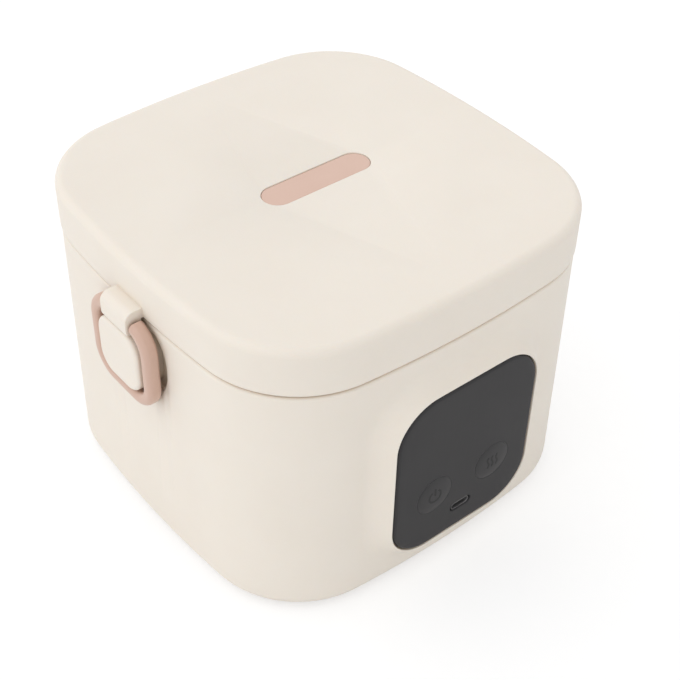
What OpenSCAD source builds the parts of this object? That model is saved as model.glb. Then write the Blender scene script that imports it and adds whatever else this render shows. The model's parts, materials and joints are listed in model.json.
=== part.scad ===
// Electric lunch box: rounded square body, hinged lid, ring latch and front control panel.
// Millimetres, +Z up, front towards -Y, latch on -X, hinge on +X, feet on z = 0.

/* [Box] */
// Width of the lid, left to right
box_w = 170; // [160:1:185]
// Depth of the lid, front to back
box_d = 171; // [160:1:185]
// Radius of the upright corners
corner_r = 42; // [34:1:48]
// How far each side bows out between its corners
side_bow = 1.9; // [1.2:0.1:3]
// Height of the body's rim above the table
rim_z = 111.9; // [110:0.1:122]
// How much wider the body is at its foot than at its rim, each side
body_draft = 1; // [0.6:0.1:1.6]
// How far the lid stands out past the body's rim, each side
lid_over = 0.4; // [0.2:0.1:0.8]
// Wall of the two outer shells
shell_t = 2.4; // [2:0.1:2.6]
// Radius of the body's lower edge
foot_edge_r = 5.5; // [4:0.5:6]

/* [Base] */
// Height of the rubber feet below the body
foot_h = 1.5; // [1:0.1:3]
// Diameter of a rubber foot
foot_d = 16; // [12:1:20]
// How deep a foot sits in the base cover
foot_sink = 1; // [0.6:0.1:1.4]
// Distance of the feet from the box's axis, each way
foot_at = 46; // [40:1:48]
// Thickness of the base cover
cover_t = 2.4; // [2:0.1:3]
// Distance of the base cover's edge from the lid's outline
cover_in = 8; // [7:0.5:9]
// Distance of the body's inner lip from the lid's outline
lip_in = 22; // [20:1:24]
// Thickness of the body's inner lip
lip_t = 2.4; // [2:0.1:3]
// Distance of the cover's screws from the box's axis, each way
cover_screw_at = 57.5; // [56:0.5:59]
// Height of the screw bosses above the lip
boss_h = 12; // [8:1:16]
// Outer diameter of the screw bosses
boss_d = 8; // [7:0.5:9]

/* [Screws] */
// Diameter of a screw's shank
screw_d = 2.9; // [2.6:0.1:3.2]
// Diameter of a screw's head
screw_head_d = 5.6; // [5:0.1:6]
// Height of a screw's head
screw_head_h = 1.4; // [1.2:0.1:1.6]

/* [Liner and pot] */
// Height of the liner's floor, its underside
liner_z = 43; // [42:0.5:46]
// Thickness of the liner
liner_t = 1.6; // [1.2:0.1:2]
// Distance of the liner's wall from the lid's outline
liner_in = 10; // [9.6:0.1:10.4]
// How far the liner's flange lies below the body's rim
flange_drop = 1.6; // [1.2:0.1:2]
// Thickness of the pot
pot_t = 0.8; // [0.6:0.1:1]
// Gap between the liner's wall and the pot
pot_gap = 1.4; // [1:0.1:2]
// How far the pot's rim reaches out over the liner's flange
pot_rim = 6; // [5:0.5:7]
// Radius between the pot's wall and floor
pot_r = 8; // [6:1:12]
// Width of the step in the pot's wall that the tray stands on
pot_step = 2; // [1.6:0.1:2.6]
// Depth of that step below the pot's rim
step_drop = 8; // [6:0.5:12]
// Depth of the food tray
tray_h = 24; // [18:1:34]
// Gap between the tray's rim and the pot's wall
tray_gap = 0.4; // [0.3:0.1:0.6]
// Width of the tray's rim
tray_rim = 4; // [3:0.5:5]

/* [Heating] */
// Diameter of the heating plate
plate_d = 112; // [100:1:120]
// Thickness of the heating plate's rim above the liner's floor
plate_rim_t = 1.4; // [1.2:0.1:2]
// Depth of the heating plate below the liner's floor
plate_drop = 2.4; // [2:0.1:3]
// Diameter of the heater's tube
tube_d = 6.6; // [6:0.2:8]
// Diameter of the heater's turn, tube centre to tube centre
turn_d = 72; // [60:1:80]
// Angle that the heater's turn covers
turn_angle = 320; // [300:5:330]
// Diameter of the temperature sensor
sensor_d = 16; // [12:1:20]
// Thickness of the heat shield
shield_t = 0.8; // [0.6:0.1:1]
// Width of the heat shield's flange
shield_rim = 8; // [7.5:0.5:9]

/* [Cells] */
// Diameter of a cell
cell_d = 21.2; // [18:0.1:22]
// Length of a cell
cell_l = 70; // [65:1:72]
// Number of cells
cell_n = 3; // [2:1:3]
// Gap between cells
cell_gap = 1.2; // [0.8:0.1:2]
// Wall of the cell tray
cell_tray_t = 1.4; // [1.2:0.1:2]

/* [Panel] */
// Width of the control panel
panel_w = 69.2; // [64:0.1:74]
// Height of the control panel
panel_h = 77.3; // [72:0.1:80]
// Height of the panel's centre above the table
panel_z = 56.8; // [55:0.1:58]
// Radius of the panel's corners
panel_r = 18; // [14:0.5:22]
// Radius of the panel's rolled front edge
panel_edge_r = 1.6; // [1:0.1:2.4]
// How far the panel stands out past the lid's front
panel_proud = 6.1; // [5:0.1:6.5]
// Thickness of the panel
panel_t = 6.7; // [6.2:0.1:6.9]
// Gap round the panel
panel_gap = 0.3; // [0.2:0.1:0.5]
// Width of the soft swelling of the body round the panel
swell_w = 11; // [10:0.5:13]
// How far the panel stands out past that swelling
swell_below = 0.2; // [0.1:0.1:1.2]
// Thickness of the seal behind the panel
panel_seal_t = 0.6; // [0.5:0.1:0.8]
// Width of the seal behind the panel
panel_seal_w = 4; // [3:0.5:5]

/* [Buttons and port] */
// Diameter of a button
button_d = 17; // [15:0.5:18]
// Distance of a button from the panel's middle
button_x = 14.9; // [14:0.1:16]
// Height of the buttons above the table
button_z = 44.6; // [44:0.1:50]
// Height of a button's domed face
button_dome = 0.6; // [0.3:0.1:1]
// Gap round a button
button_gap = 0.2; // [0.15:0.05:0.3]
// Travel of a button
button_travel = 0.8; // [0.5:0.1:0.9]
// Height of the port above the table
port_z = 29.9; // [29:0.1:31]
// Width of the port's recess in the panel
port_w = 10.6; // [10.4:0.1:12.5]
// Height of the port's recess in the panel
port_h = 4.1; // [4:0.1:5.6]
// How far the socket sits behind the panel's face
port_sink = 0.4; // [0.3:0.1:2.2]

/* [Control board] */
// Width of the control board
board_w = 68; // [66:1:70]
// Height of the control board
board_h = 70; // [68:1:72]
// Thickness of the control board
board_t = 1.6; // [1.2:0.1:1.8]
// Distance of the board's front from the panel's face
board_at = 11.5; // [11.4:0.1:11.8]
// Distance of the board's screws from its edges
board_screw_in = 3.4; // [3:0.1:3.8]
// Width of the window behind the panel
window_w = 52; // [50:1:54]
// Height of the window behind the panel
window_h = 64; // [62:1:64]

/* [Lid] */
// Gap between the body's rim and the lid
seam_gap = 1.3; // [0.8:0.1:1.6]
// Height of the lid above its own rim
lid_h = 19.8; // [18:0.1:24]
// Thickness of the lid's top
lid_top_t = 2.6; // [2.4:0.1:3]
// Radius of the lid's upper edge
lid_edge_r = 3.4; // [2.6:0.1:4]
// Distance of the lid's tongue from the lid's outline
tongue_in = 1.3; // [1:0.1:1.6]
// Gap between the lid's tongue and the body's rim
tongue_gap = 0.3; // [0.3:0.05:0.5]
// Thickness of the plate that closes the lid from below
lid_plate_t = 1.8; // [1.6:0.1:2.4]
// Distance of the lid's screws from the box's axis, each way
lid_screw_at = 55; // [52:0.5:56]
// Width of the lid's seal
seal_w = 5; // [4:0.5:5.5]
// Gap between the lid's seal and the pot's rim
seal_gap = 0.3; // [0.2:0.1:0.4]
// Depth of the seal's groove in the lid plate
seal_groove = 0.8; // [0.6:0.1:1]
// Length of the inlay on the lid
inlay_l = 49.5; // [40:0.5:60]
// Width of the inlay on the lid
inlay_w = 12.8; // [10:0.1:16]
// Thickness of the inlay
inlay_t = 0.9; // [0.8:0.1:1]
// How far the inlay lies below the lid's top
inlay_sink = 0.3; // [0.2:0.1:0.4]
// Opening angle of the lid
lid_open = 100; // [90:5:110]

/* [Hinge] */
// Diameter of the hinge pin
pin_d = 3; // [2.6:0.1:3.4]
// Running gap round the hinge pin
pin_gap = 0.05; // [0.03:0.01:0.08]
// Outer radius of the hinge's knuckles
knuckle_r = 3.2; // [3:0.1:3.5]
// Distance of the hinge axis from the lid's side
hinge_out = 4.3; // [4.1:0.1:5.2]
// Length of the lid's knuckle
lid_knuckle_l = 28; // [22:1:34]
// Length of each of the body's knuckles
body_knuckle_l = 13.6; // [10:0.2:16]
// Gap between knuckles
knuckle_gap = 0.4; // [0.3:0.1:0.6]
// Height of the gussets that carry the knuckles
gusset_h = 9; // [7:0.5:10]

/* [Latch] */
// How far the latch stands out past the lid's side
latch_proud = 7.5; // [7:0.1:8.6]
// Width of the latch ring
ring_w = 39; // [37:0.2:40]
// Height of the latch ring
ring_h = 39.1; // [38.5:0.1:41]
// Width of the ring's bar
bar_w = 5.5; // [4.8:0.1:5.6]
// Depth of the ring's bar
bar_t = 6; // [5.4:0.1:6.2]
// Radius of the ring's corners, at the bar's middle
ring_r = 9.4; // [8:0.2:11]
// How far the ring's pivot hangs below the lid's rim
pivot_down = 1.7; // [1.4:0.1:2]
// Gap between the ring and the body's wall
ring_gap = 0.6; // [0.6:0.1:1.4]
// Diameter of the ring's pivot
pivot_d = 4.2; // [3.6:0.1:4.4]
// Width of the lid's latch tab
tab_w = 16.8; // [12:0.1:18]
// Height of the tab's flat top above the lid's rim
tab_up = 4.6; // [4:0.1:6]
// Radius of the tab's shoulder
tab_r = 4; // [3:0.1:5]
// How far the tab reaches below the ring's pivot
tab_drop = 3.8; // [3.4:0.1:4.2]
// Gap between the tab and the ring
tab_gap = 0.35; // [0.3:0.05:0.5]
// Width of the strike that the ring closes round
strike_w = 26.4; // [23:0.2:26.8]
// Height of the strike
strike_h = 26.4; // [24:0.2:26.8]
// Radius of the strike's corners
strike_r = 8.5; // [7:0.5:10]
// Depth of the strike's seat in the pocket's floor
strike_sink = 0.6; // [0.4:0.1:0.8]
// Width of the pocket behind the ring
pocket_w = 40; // [38.8:0.2:44]
// Height of the pocket behind the ring
pocket_h = 31.4; // [30.8:0.2:34]
// Radius of the pocket's corners
pocket_r = 14; // [9:0.5:15]
// Depth of the pocket behind the ring
pocket_t = 3.4; // [2.6:0.1:3.8]
// Depth of the pocket's upper edge, beside the rim
pocket_edge_t = 1; // [0.6:0.1:1.2]
// Opening angle of the latch ring
ring_open = 110; // [90:5:120]

/* [Hidden] */

$fn = 48;
// Overlap of shapes that are joined, and of cutters past a face
eps = 0.01;
past = 1;
// Gap between two fixed pieces that slide together once
fit = 0.2;
// Steps along half a side and round a corner of the plan
side_steps = 3;
corner_steps = 12;
// Steps round an edge
edge_steps = 4;

cream = [0.93, 0.90, 0.86];
pink = [0.88, 0.78, 0.73];
charcoal = [0.28, 0.28, 0.28];
steel = [0.75, 0.76, 0.78];
rubber_grey = [0.35, 0.35, 0.36];
board_green = [0.12, 0.38, 0.25];

half_w = box_w / 2;
half_d = box_d / 2;
corner_x = half_w - corner_r - side_bow;
corner_y = half_d - corner_r - side_bow;
arc_x = corner_r + (corner_y * corner_y + side_bow * side_bow) / (2 * side_bow);
arc_y = corner_r + (corner_x * corner_x + side_bow * side_bow) / (2 * side_bow);

base_z = foot_h;
cover_top = base_z + cover_t;
lip_top = cover_top + lip_t;
foot_side = lid_over - body_draft;
flange_top = rim_z - flange_drop;
flange_z = flange_top - liner_t;
lid_z = rim_z + seam_gap;
top_z = lid_z + lid_h;

// The box's own axis lies behind the origin, which is the middle of the whole footprint
panel_y = -half_d - panel_proud;
axis_y = -(panel_y - button_dome + half_d - foot_side) / 2;

liner_inner = liner_in + liner_t;
pot_in = liner_inner + pot_gap;
pot_z = liner_z + liner_t + plate_rim_t;
pot_rim_z = flange_top;
pot_top = pot_rim_z + pot_t;
step_z = pot_top - step_drop;
tray_in = pot_in + pot_t + tray_gap;
// The tray fills the pot's left part, up to this line
tray_x = -4;
tray_top = step_z + pot_t + 0.8;

plate_z = liner_z - plate_drop;
plate_hole_d = plate_d - 10;
plate_plug_d = plate_hole_d - 2 * fit;
sensor_z = plate_z - 4.6;
heater_z = plate_z - tube_d / 2;
// Half the angle that the heater's turn leaves open, on the right
turn_open = (360 - turn_angle) / 2;
collar_l = 3;
terminal_l = 6.6;
lead_d = 2;
heater_tip_x = turn_d / 2 * cos(turn_open) + terminal_l * sin(turn_open);
lead_y = turn_d / 2 * sin(turn_open) - terminal_l * cos(turn_open);
shield_in_d = plate_d + 8;
shield_d = shield_in_d + 2 * shield_rim;
shield_floor = plate_z - tube_d - 3.4;
shield_screw_r = (shield_in_d / 2 + shield_t + shield_d / 2) / 2;

cell_z = cover_top + cell_tray_t + cell_d / 2;
cell_pitch = cell_d + cell_gap;
cell_row = (cell_n - 1) * cell_pitch;
cell_tray_w = cell_row + cell_d + 2 * (cell_tray_t + fit);
cell_tray_l = cell_l + 2 * (cell_tray_t + fit);
cell_tray_h = cell_d / 2 + cell_tray_t;
cell_tray_x = -10;
power_board_w = 26;
power_board_gap = 5;
power_board_up = 4;
lead_in = 5;
power_board_l = 60;
power_board_x = cell_tray_x + cell_tray_w / 2 + power_board_gap + power_board_w / 2;
power_board_z = cover_top + power_board_up;
lead_x = power_board_x + power_board_w / 2 - lead_in;

panel_back = panel_y + panel_t;
seat_y = panel_back + panel_seal_t;
swell_y = panel_y + swell_below;
button_r = button_d / 2;
button_lip = 1.1;
button_ledge = panel_y + 4;
button_flange_y = button_ledge + fit;
button_flange_t = 1.4;
switch_w = 6;
switch_t = 3.2;
switch_front = button_flange_y + button_flange_t + 0.7 + button_travel + 0.1;
board_y = panel_y + board_at;
board_x = board_w / 2 - board_screw_in;
board_up = board_h / 2 - board_screw_in;
socket_w = 9;
socket_h = 3.3;
socket_t = 0.3;
tongue_w = 6.6;
tongue_t = 0.7;
socket_y = panel_y + port_sink;
tongue_y = socket_y + 0.9;

plate_z0 = lid_z + 0.4;
plate_z1 = plate_z0 + lid_plate_t;
plate_in = shell_t + 0.4;
seal_in = pot_in - pot_rim + 0.5;
seal_z = pot_top + seal_gap;
foam_in = shell_t + 3.6;

hinge_x = half_w + hinge_out;
hinge_z = rim_z + seam_gap / 2;

latch_x = -half_w - latch_proud;
bar_x = -half_w - ring_gap - bar_t / 2;
pivot_z = lid_z - pivot_down;
ring_top = pivot_z + bar_w / 2;
ring_mid_z = ring_top - ring_h / 2;
tab_bottom = pivot_z - tab_drop;
rim_round = 1;
lid_low_edge = 0.6;
pan_t = 1.4;
pocket_x = -half_w + lid_over + pocket_t;
pan_x = pocket_x + pan_t;
pocket_deep_z = flange_z - pan_t;
strike_top = min(tab_bottom - tab_gap, pocket_deep_z - fit / 2);
strike_z = strike_top - strike_h / 2;
pocket_top = rim_z - rim_round;
pocket_z = pocket_top - pocket_h / 2;
strike_back = pocket_x + strike_sink;

// Plan outline

// One quarter of the outline, moved inwards by inset, from the right round to the back
function plan_quarter(inset) =
    let (
        from_x = half_w - arc_x,
        from_y = half_d - arc_y,
        start = atan2(corner_y, corner_x - from_x),
        stop = atan2(corner_y - from_y, corner_x)
    )
    [
        for (i = [0:side_steps])
            let (a = start * i / side_steps)
            [from_x + (arc_x - inset) * cos(a), (arc_x - inset) * sin(a)],
        for (i = [1:corner_steps])
            let (a = start + (stop - start) * i / corner_steps)
            [corner_x + (corner_r - inset) * cos(a), corner_y + (corner_r - inset) * sin(a)],
        for (i = [1:side_steps])
            let (a = stop + (90 - stop) * i / side_steps)
            [(arc_y - inset) * cos(a), from_y + (arc_y - inset) * sin(a)]
    ];

// The whole outline, counter-clockwise from above
function plan(inset) =
    let (
        q = plan_quarter(inset),
        n = len(q)
    )
    [
        for (i = [0:n - 1]) q[i],
        for (i = [n - 2:-1:0]) [-q[i].x, q[i].y],
        for (i = [1:n - 1]) [-q[i].x, -q[i].y],
        for (i = [n - 2:-1:1]) [q[i].x, -q[i].y]
    ];

// Body side: its inset at height z, drafted from foot to rim
function side_in(z) =
    foot_side + body_draft * max(0, z - base_z - foot_edge_r) / (rim_z - base_z - foot_edge_r);

// Skin through rings of the plan, each given as [inset, height]: up outside, down inside.
// A closed skin joins its last ring to its first, an open one has a flat face at each end.
module loft(rings, closed = false) {
    n = len(plan(0));
    m = len(rings);
    points = [for (r = rings) for (p = plan(r[0])) [p.x, p.y, r[1]]];
    sides = [
        for (k = [0:(closed ? m - 1 : m - 2)]) for (j = [0:n - 1])
            let (
                a = k * n + j,
                b = k * n + (j + 1) % n,
                c = ((k + 1) % m) * n + (j + 1) % n,
                d = ((k + 1) % m) * n + j
            )
            each [[d, c, b], [d, b, a]]
    ];
    ends = closed ? [] : [
        [for (j = [0:n - 1]) j],
        [for (j = [n - 1:-1:0]) (m - 1) * n + j]
    ];
    polyhedron(points = points, faces = concat(sides, ends));
}

// Straight slab of the plan
module slab(inset, z0, z1) {
    translate([0, 0, z0])
        linear_extrude(z1 - z0)
            polygon(plan(inset));
}

// Small helpers

// Everything is drawn about the box's own axis and then put in the part's frame
module in_frame() {
    translate([0, axis_y, 0])
        children();
}

// Copies at the four corners of a rectangle
module four(x, y) {
    for (sx = [-1, 1])
        for (sy = [-1, 1])
            translate([sx * x, sy * y, 0])
                children();
}

// Rod along Y from y0 to y1
module rod_y(x, z, r, y0, y1) {
    translate([x, y0, z])
        rotate([-90, 0, 0])
            cylinder(h = y1 - y0, r = r);
}

// Flat shape drawn in X and Z, given thickness from y0 to y1
module front_slab(y0, y1) {
    translate([0, y1, 0])
        rotate([90, 0, 0])
            linear_extrude(y1 - y0)
                children();
}

// Rounded rectangle about the origin
module round_rect(w, h, r) {
    square([w - 2 * r, h], center = true);
    square([w, h - 2 * r], center = true);
    for (sx = [-1, 1])
        for (sy = [-1, 1])
            translate([sx * (w / 2 - r), sy * (h / 2 - r)])
                circle(r);
}

// Long rounded shape about the origin
module stadium(w, h) {
    square([w - h, h], center = true);
    for (s = [-1, 1])
        translate([s * (w - h) / 2, 0])
            circle(h / 2);
}

// Self-tapping screw pointing up, underside of its head at the origin
module pan_screw(l) {
    translate([0, 0, -screw_head_h])
        cylinder(h = screw_head_h, d = screw_head_d);
    cylinder(h = l, d = screw_d);
}

// Countersunk screw pointing up, flat face of its head at the origin
module flat_screw(l) {
    cylinder(h = screw_head_h, d1 = screw_head_d, d2 = screw_d);
    cylinder(h = l, d = screw_d);
}

// Outline of the control panel, grown by g
module panel_shape(g = 0) {
    translate([0, panel_z])
        round_rect(panel_w + 2 * g, panel_h + 2 * g, panel_r + g);
}

// Body

foot_curve = [
    for (i = [0:edge_steps])
        let (a = 90 * i / edge_steps)
        [foot_side + foot_edge_r * (1 - sin(a)), base_z + foot_edge_r * (1 - cos(a))]
];
ledge_w = 3;
ledge_h = 2.4;
ledge_foot_z = flange_z - ledge_h - ledge_w;
wall_in = side_in(lip_top) + shell_t;
rim_in = lid_over + shell_t;
body_rings = concat(foot_curve, [
    [lid_over, rim_z - rim_round],
    [lid_over + rim_round, rim_z],
    [rim_in, rim_z],
    [rim_in, flange_z],
    [rim_in + ledge_w, flange_z],
    [rim_in + ledge_w, flange_z - ledge_h],
    [side_in(ledge_foot_z) + shell_t, ledge_foot_z],
    [wall_in, lip_top],
    [lip_in, lip_top],
    [lip_in, cover_top],
    [cover_in, cover_top],
    [cover_in, base_z]
]);

// Flare of the front wall round the panel: growth of the panel's outline, share of the rise
rise_y = -half_d - swell_y;
flare = [
    [1 / 11, 1],
    [0.24, 0.62],
    [0.46, 0.26],
    [0.8, -0.06],
    [1, -0.5]
];

module panel_swelling() {
    for (i = [0:len(flare) - 2])
        hull()
            for (k = [i, i + 1]) {
                y = -half_d - rise_y * flare[k][1];
                front_slab(y, y + eps) panel_shape(swell_w * flare[k][0]);
            }
}

module body_knuckles() {
    inner = lid_knuckle_l / 2 + knuckle_gap;
    outer = inner + body_knuckle_l;
    root = half_w - shell_t / 2 - lid_over;
    reach = hinge_x + knuckle_r * 0.9;
    for (s = [-1, 1]) {
        y0 = s > 0 ? inner : -outer;
        rod_y(hinge_x, hinge_z, knuckle_r, y0, y0 + body_knuckle_l);
        front_slab(y0, y0 + body_knuckle_l)
            polygon([
                [root, rim_z - gusset_h - knuckle_r],
                [reach, hinge_z - knuckle_r * 0.6],
                [hinge_x, hinge_z - lid_over],
                [root, rim_z - rim_round]
            ]);
    }
}

// Posts of the control board, and what is left in front of their screw holes
board_post_y = -half_d + lid_over + shell_t / 2;
board_post_r = 2.8;
board_post_skin = 0.8;
board_screw_d = 2.5;
board_screw_head_d = 4.6;
board_screw_head_h = 1.2;

// Outline of the pocket behind the ring, given thickness from x0 to x1 and grown by g
module pocket_prism(x0, x1, g = 0) {
    translate([x0, 0, pocket_z])
        rotate([90, 0, 90])
            linear_extrude(x1 - x0)
                round_rect(pocket_w + 2 * g, pocket_h + 2 * g, pocket_r + g);
}

// What lies lower than z in the left wall
module below(z) {
    intersection() {
        children();
        translate([-half_w, -half_d, 0])
            cube([shell_t + pocket_t + past, box_d, z]);
    }
}

module body_shell() {
    color(cream)
        in_frame()
            difference() {
                union() {
                    loft(body_rings, closed = true);
                    panel_swelling();
                    body_knuckles();
                    below(flange_z) pocket_prism(-half_w + shell_t / 2, pan_x, 1.5);
                    four(cover_screw_at, cover_screw_at)
                        translate([0, 0, cover_top])
                            cylinder(h = lip_t + boss_h, d = boss_d);
                    for (sx = [-1, 1])
                        for (sz = [-1, 1])
                            rod_y(sx * board_x, panel_z + sz * board_up, board_post_r, board_post_y, board_y);
                }
                front_slab(panel_y, seat_y) panel_shape(panel_gap);
                front_slab(seat_y - past, board_post_y + shell_t)
                    translate([0, panel_z])
                        square([window_w, window_h], center = true);
                four(cover_screw_at, cover_screw_at)
                    translate([0, 0, base_z])
                        cylinder(h = cover_t + lip_t + boss_h - 1.5, d = screw_d);
                for (sx = [-1, 1])
                    for (sz = [-1, 1])
                        rod_y(sx * board_x, panel_z + sz * board_up, board_screw_d / 2,
                            seat_y + board_post_skin, board_y + past);
                rod_y(hinge_x, hinge_z, pin_d / 2, -box_d / 2, box_d / 2);
                pocket_prism(-half_w - past, -half_w + lid_over + pocket_edge_t);
                below(pocket_deep_z) pocket_prism(-half_w, pocket_x);
                strike_prism(pocket_x - past, strike_back, fit / 2);
                for (s = [-1, 1])
                    translate([strike_back - past, 0, strike_z + s * strike_screw_up])
                        rotate([0, 90, 0])
                            cylinder(h = shell_t + past, d = screw_d);
            }
}

// Base

// Air slots in front of and behind the cell tray
slot_l = 16;
slot_w = 2.4;
slot_pitch = 7;
slot_at = cell_tray_l / 2 + 6 + slot_l / 2;

module base_cover() {
    color(cream)
        in_frame()
            difference() {
                slab(cover_in + fit, base_z, cover_top);
                four(cover_screw_at, cover_screw_at)
                    translate([0, 0, base_z - past]) {
                        cylinder(h = past + screw_head_h, d = screw_head_d + 2 * fit);
                        cylinder(h = past + cover_t + past, d = screw_d + fit);
                    }
                four(foot_at, foot_at)
                    translate([0, 0, base_z - past])
                        cylinder(h = past + foot_sink, d = foot_d);
                for (sy = [-1, 1])
                    for (i = [-3:3])
                        translate([i * slot_pitch, sy * slot_at, base_z - past])
                            linear_extrude(cover_t + 2 * past)
                                rotate(90)
                                    stadium(slot_l, slot_w);
            }
}

module rubber_feet() {
    color(rubber_grey)
        in_frame()
            four(foot_at, foot_at) {
                cylinder(h = 0.6, d1 = foot_d - 1.2, d2 = foot_d);
                translate([0, 0, 0.6])
                    cylinder(h = foot_h + foot_sink - 0.6, d = foot_d);
            }
}

module cover_screws() {
    color(steel)
        in_frame()
            four(cover_screw_at, cover_screw_at)
                translate([0, 0, base_z + screw_head_h])
                    pan_screw(cover_t - screw_head_h + lip_t + boss_h - 3);
}

// Liner, pot and tray

module inner_liner() {
    color(cream)
        in_frame()
            difference() {
                union() {
                    slab(liner_in, liner_z, flange_top);
                    slab(rim_in + fit, flange_z, flange_top);
                }
                slab(liner_inner, liner_z + liner_t, flange_top + past);
                translate([0, 0, liner_z - past])
                    cylinder(h = liner_t + 2 * past, d = plate_hole_d);
                shield_screw_places()
                    translate([0, 0, liner_z - past])
                        cylinder(h = liner_t + 2 * past, d = screw_d);
            }
}

// Rings of a rounded edge between a floor and a wall, from the floor to the wall
function floor_curve(inset, z, r) = [
    for (i = [0:edge_steps])
        let (a = 90 * i / edge_steps)
        [inset + r * (1 - sin(a)), z + r * (1 - cos(a))]
];
function reversed(list) = [for (i = [len(list) - 1:-1:0]) list[i]];

low_in = pot_in + pot_step;
pot_rings = concat(
    floor_curve(low_in, pot_z, pot_r),
    [
        [low_in, step_z - pot_step],
        [pot_in, step_z],
        [pot_in, pot_rim_z],
        [pot_in - pot_rim, pot_rim_z],
        [pot_in - pot_rim, pot_top],
        [pot_in + pot_t, pot_top],
        [pot_in + pot_t, step_z + pot_t],
        [low_in + pot_t, step_z + pot_t - pot_step]
    ],
    reversed(floor_curve(low_in + pot_t, pot_z + pot_t, pot_r - pot_t))
);

module inner_pot() {
    color(steel)
        in_frame()
            loft(pot_rings);
}

// Tray outline: the pot's plan, cut off straight on the right, with round corners there
module tray_area(inset, corner) {
    intersection() {
        polygon(plan(tray_in + inset));
        translate([tray_x - inset - box_w / 2, 0])
            round_rect(box_w, box_d - 2 * (tray_in + inset) - side_bow, corner);
    }
}

module food_tray() {
    floor_in = tray_rim + 1.5;
    rest_z = step_z + pot_t;
    color(steel)
        in_frame()
            difference() {
                union() {
                    translate([0, 0, rest_z])
                        linear_extrude(tray_top - rest_z)
                            tray_area(0, 12);
                    translate([0, 0, rest_z - tray_h])
                        linear_extrude(tray_h + eps)
                            tray_area(floor_in, 10);
                }
                translate([0, 0, rest_z - tray_h + pot_t])
                    linear_extrude(tray_h + past)
                        tray_area(floor_in + pot_t, 9);
            }
}

// Heating

module heating_plate() {
    color([0.70, 0.71, 0.72])
        in_frame()
            difference() {
                union() {
                    translate([0, 0, liner_z + liner_t])
                        cylinder(h = plate_rim_t, d = plate_d);
                    translate([0, 0, plate_z])
                        cylinder(h = pot_z - plate_z, d = plate_plug_d);
                }
                translate([0, 0, plate_z - past])
                    cylinder(h = past + 1, d = sensor_d + 2 * fit);
            }
}

module heater_tube() {
    color([0.45, 0.44, 0.43])
        in_frame()
            translate([0, 0, heater_z]) {
                rotate(turn_open)
                    rotate_extrude(angle = turn_angle)
                        translate([turn_d / 2, 0])
                            circle(d = tube_d);
                for (s = [-1, 1])
                    rotate(s * turn_open)
                        translate([turn_d / 2, 0, 0])
                            rotate([s * 90, 0, 0]) {
                                cylinder(h = collar_l, d = tube_d - 1.4);
                                cylinder(h = terminal_l, d = lead_d);
                            }
            }
}

module temperature_sensor() {
    color(steel)
        in_frame() {
            translate([0, 0, sensor_z])
                cylinder(h = plate_z + 1 - sensor_z, d = sensor_d);
            translate([0, 0, sensor_z - 1.8])
                cylinder(h = 1.8, d = 6);
        }
}

fuse_x = 22;

module thermal_fuse() {
    color([0.80, 0.78, 0.72])
        in_frame() {
            rod_y(fuse_x, plate_z - 2, 2, -5.5, 5.5);
            rod_y(fuse_x, plate_z - 2, 0.5, -10, 10);
        }
}

module shield_screw_places() {
    for (i = [0:2])
        rotate(30 + 120 * i)
            translate([shield_screw_r, 0, 0])
                children();
}

module heat_shield() {
    color([0.62, 0.63, 0.65])
        in_frame()
            difference() {
                union() {
                    translate([0, 0, liner_z - shield_t])
                        cylinder(h = shield_t, d = shield_d);
                    translate([0, 0, shield_floor])
                        cylinder(h = liner_z - shield_floor, d = shield_in_d + 2 * shield_t);
                }
                translate([0, 0, shield_floor + shield_t])
                    cylinder(h = liner_z, d = shield_in_d);
                shield_screw_places()
                    translate([0, 0, liner_z - shield_t - past])
                        cylinder(h = shield_t + 2 * past, d = screw_d + fit);
                translate([lead_x, 0, shield_floor - past])
                    linear_extrude(shield_t + 2 * past)
                        square([lead_d + 3, 2 * lead_y + lead_d + 3], center = true);
            }
}

module shield_screws() {
    color(steel)
        in_frame()
            shield_screw_places()
                translate([0, 0, liner_z - shield_t])
                    pan_screw(liner_t + shield_t);
}

// Power

module cell_places() {
    for (i = [0:cell_n - 1])
        translate([cell_tray_x - cell_row / 2 + i * cell_pitch, 0, cell_z])
            children();
}

module cell_tray() {
    color(charcoal)
        in_frame()
            difference() {
                translate([cell_tray_x - cell_tray_w / 2, -cell_tray_l / 2, cover_top])
                    cube([cell_tray_w, cell_tray_l, cell_tray_h]);
                cell_places()
                    rotate([90, 0, 0])
                        cylinder(h = cell_l + 2 * fit, d = cell_d, center = true);
            }
}

module cells() {
    color([0.30, 0.45, 0.62])
        in_frame()
            cell_places() {
                rotate([90, 0, 0])
                    cylinder(h = cell_l, d = cell_d, center = true);
            }
}

module power_board() {
    color(board_green)
        in_frame()
            translate([power_board_x, 0, power_board_z]) {
                translate([-power_board_w / 2, -power_board_l / 2, 0])
                    cube([power_board_w, power_board_l, board_t]);
                four(power_board_w / 2 - 3, power_board_l / 2 - 3)
                    translate([0, 0, cover_top - power_board_z])
                        cylinder(h = power_board_z - cover_top + eps, d = 4);
            }
}

// Coil, flat converter and round capacitor on the power board
coil_d = 14;
coil_y = power_board_l / 5;
converter_w = 12;
converter_l = 16;
capacitor_d = 8;

module power_coil() {
    color([0.20, 0.20, 0.21])
        in_frame()
            translate([power_board_x, coil_y, power_board_z + board_t]) {
                cylinder(h = coil_d * 0.64, d = coil_d);
                translate([-converter_w / 2, -coil_y * 2 - converter_l * 0.62, 0])
                    cube([converter_w, converter_l, converter_w / 2]);
                translate([-capacitor_d, -coil_d, 0])
                    cylinder(h = capacitor_d * 1.4, d = capacitor_d);
            }
}

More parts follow.
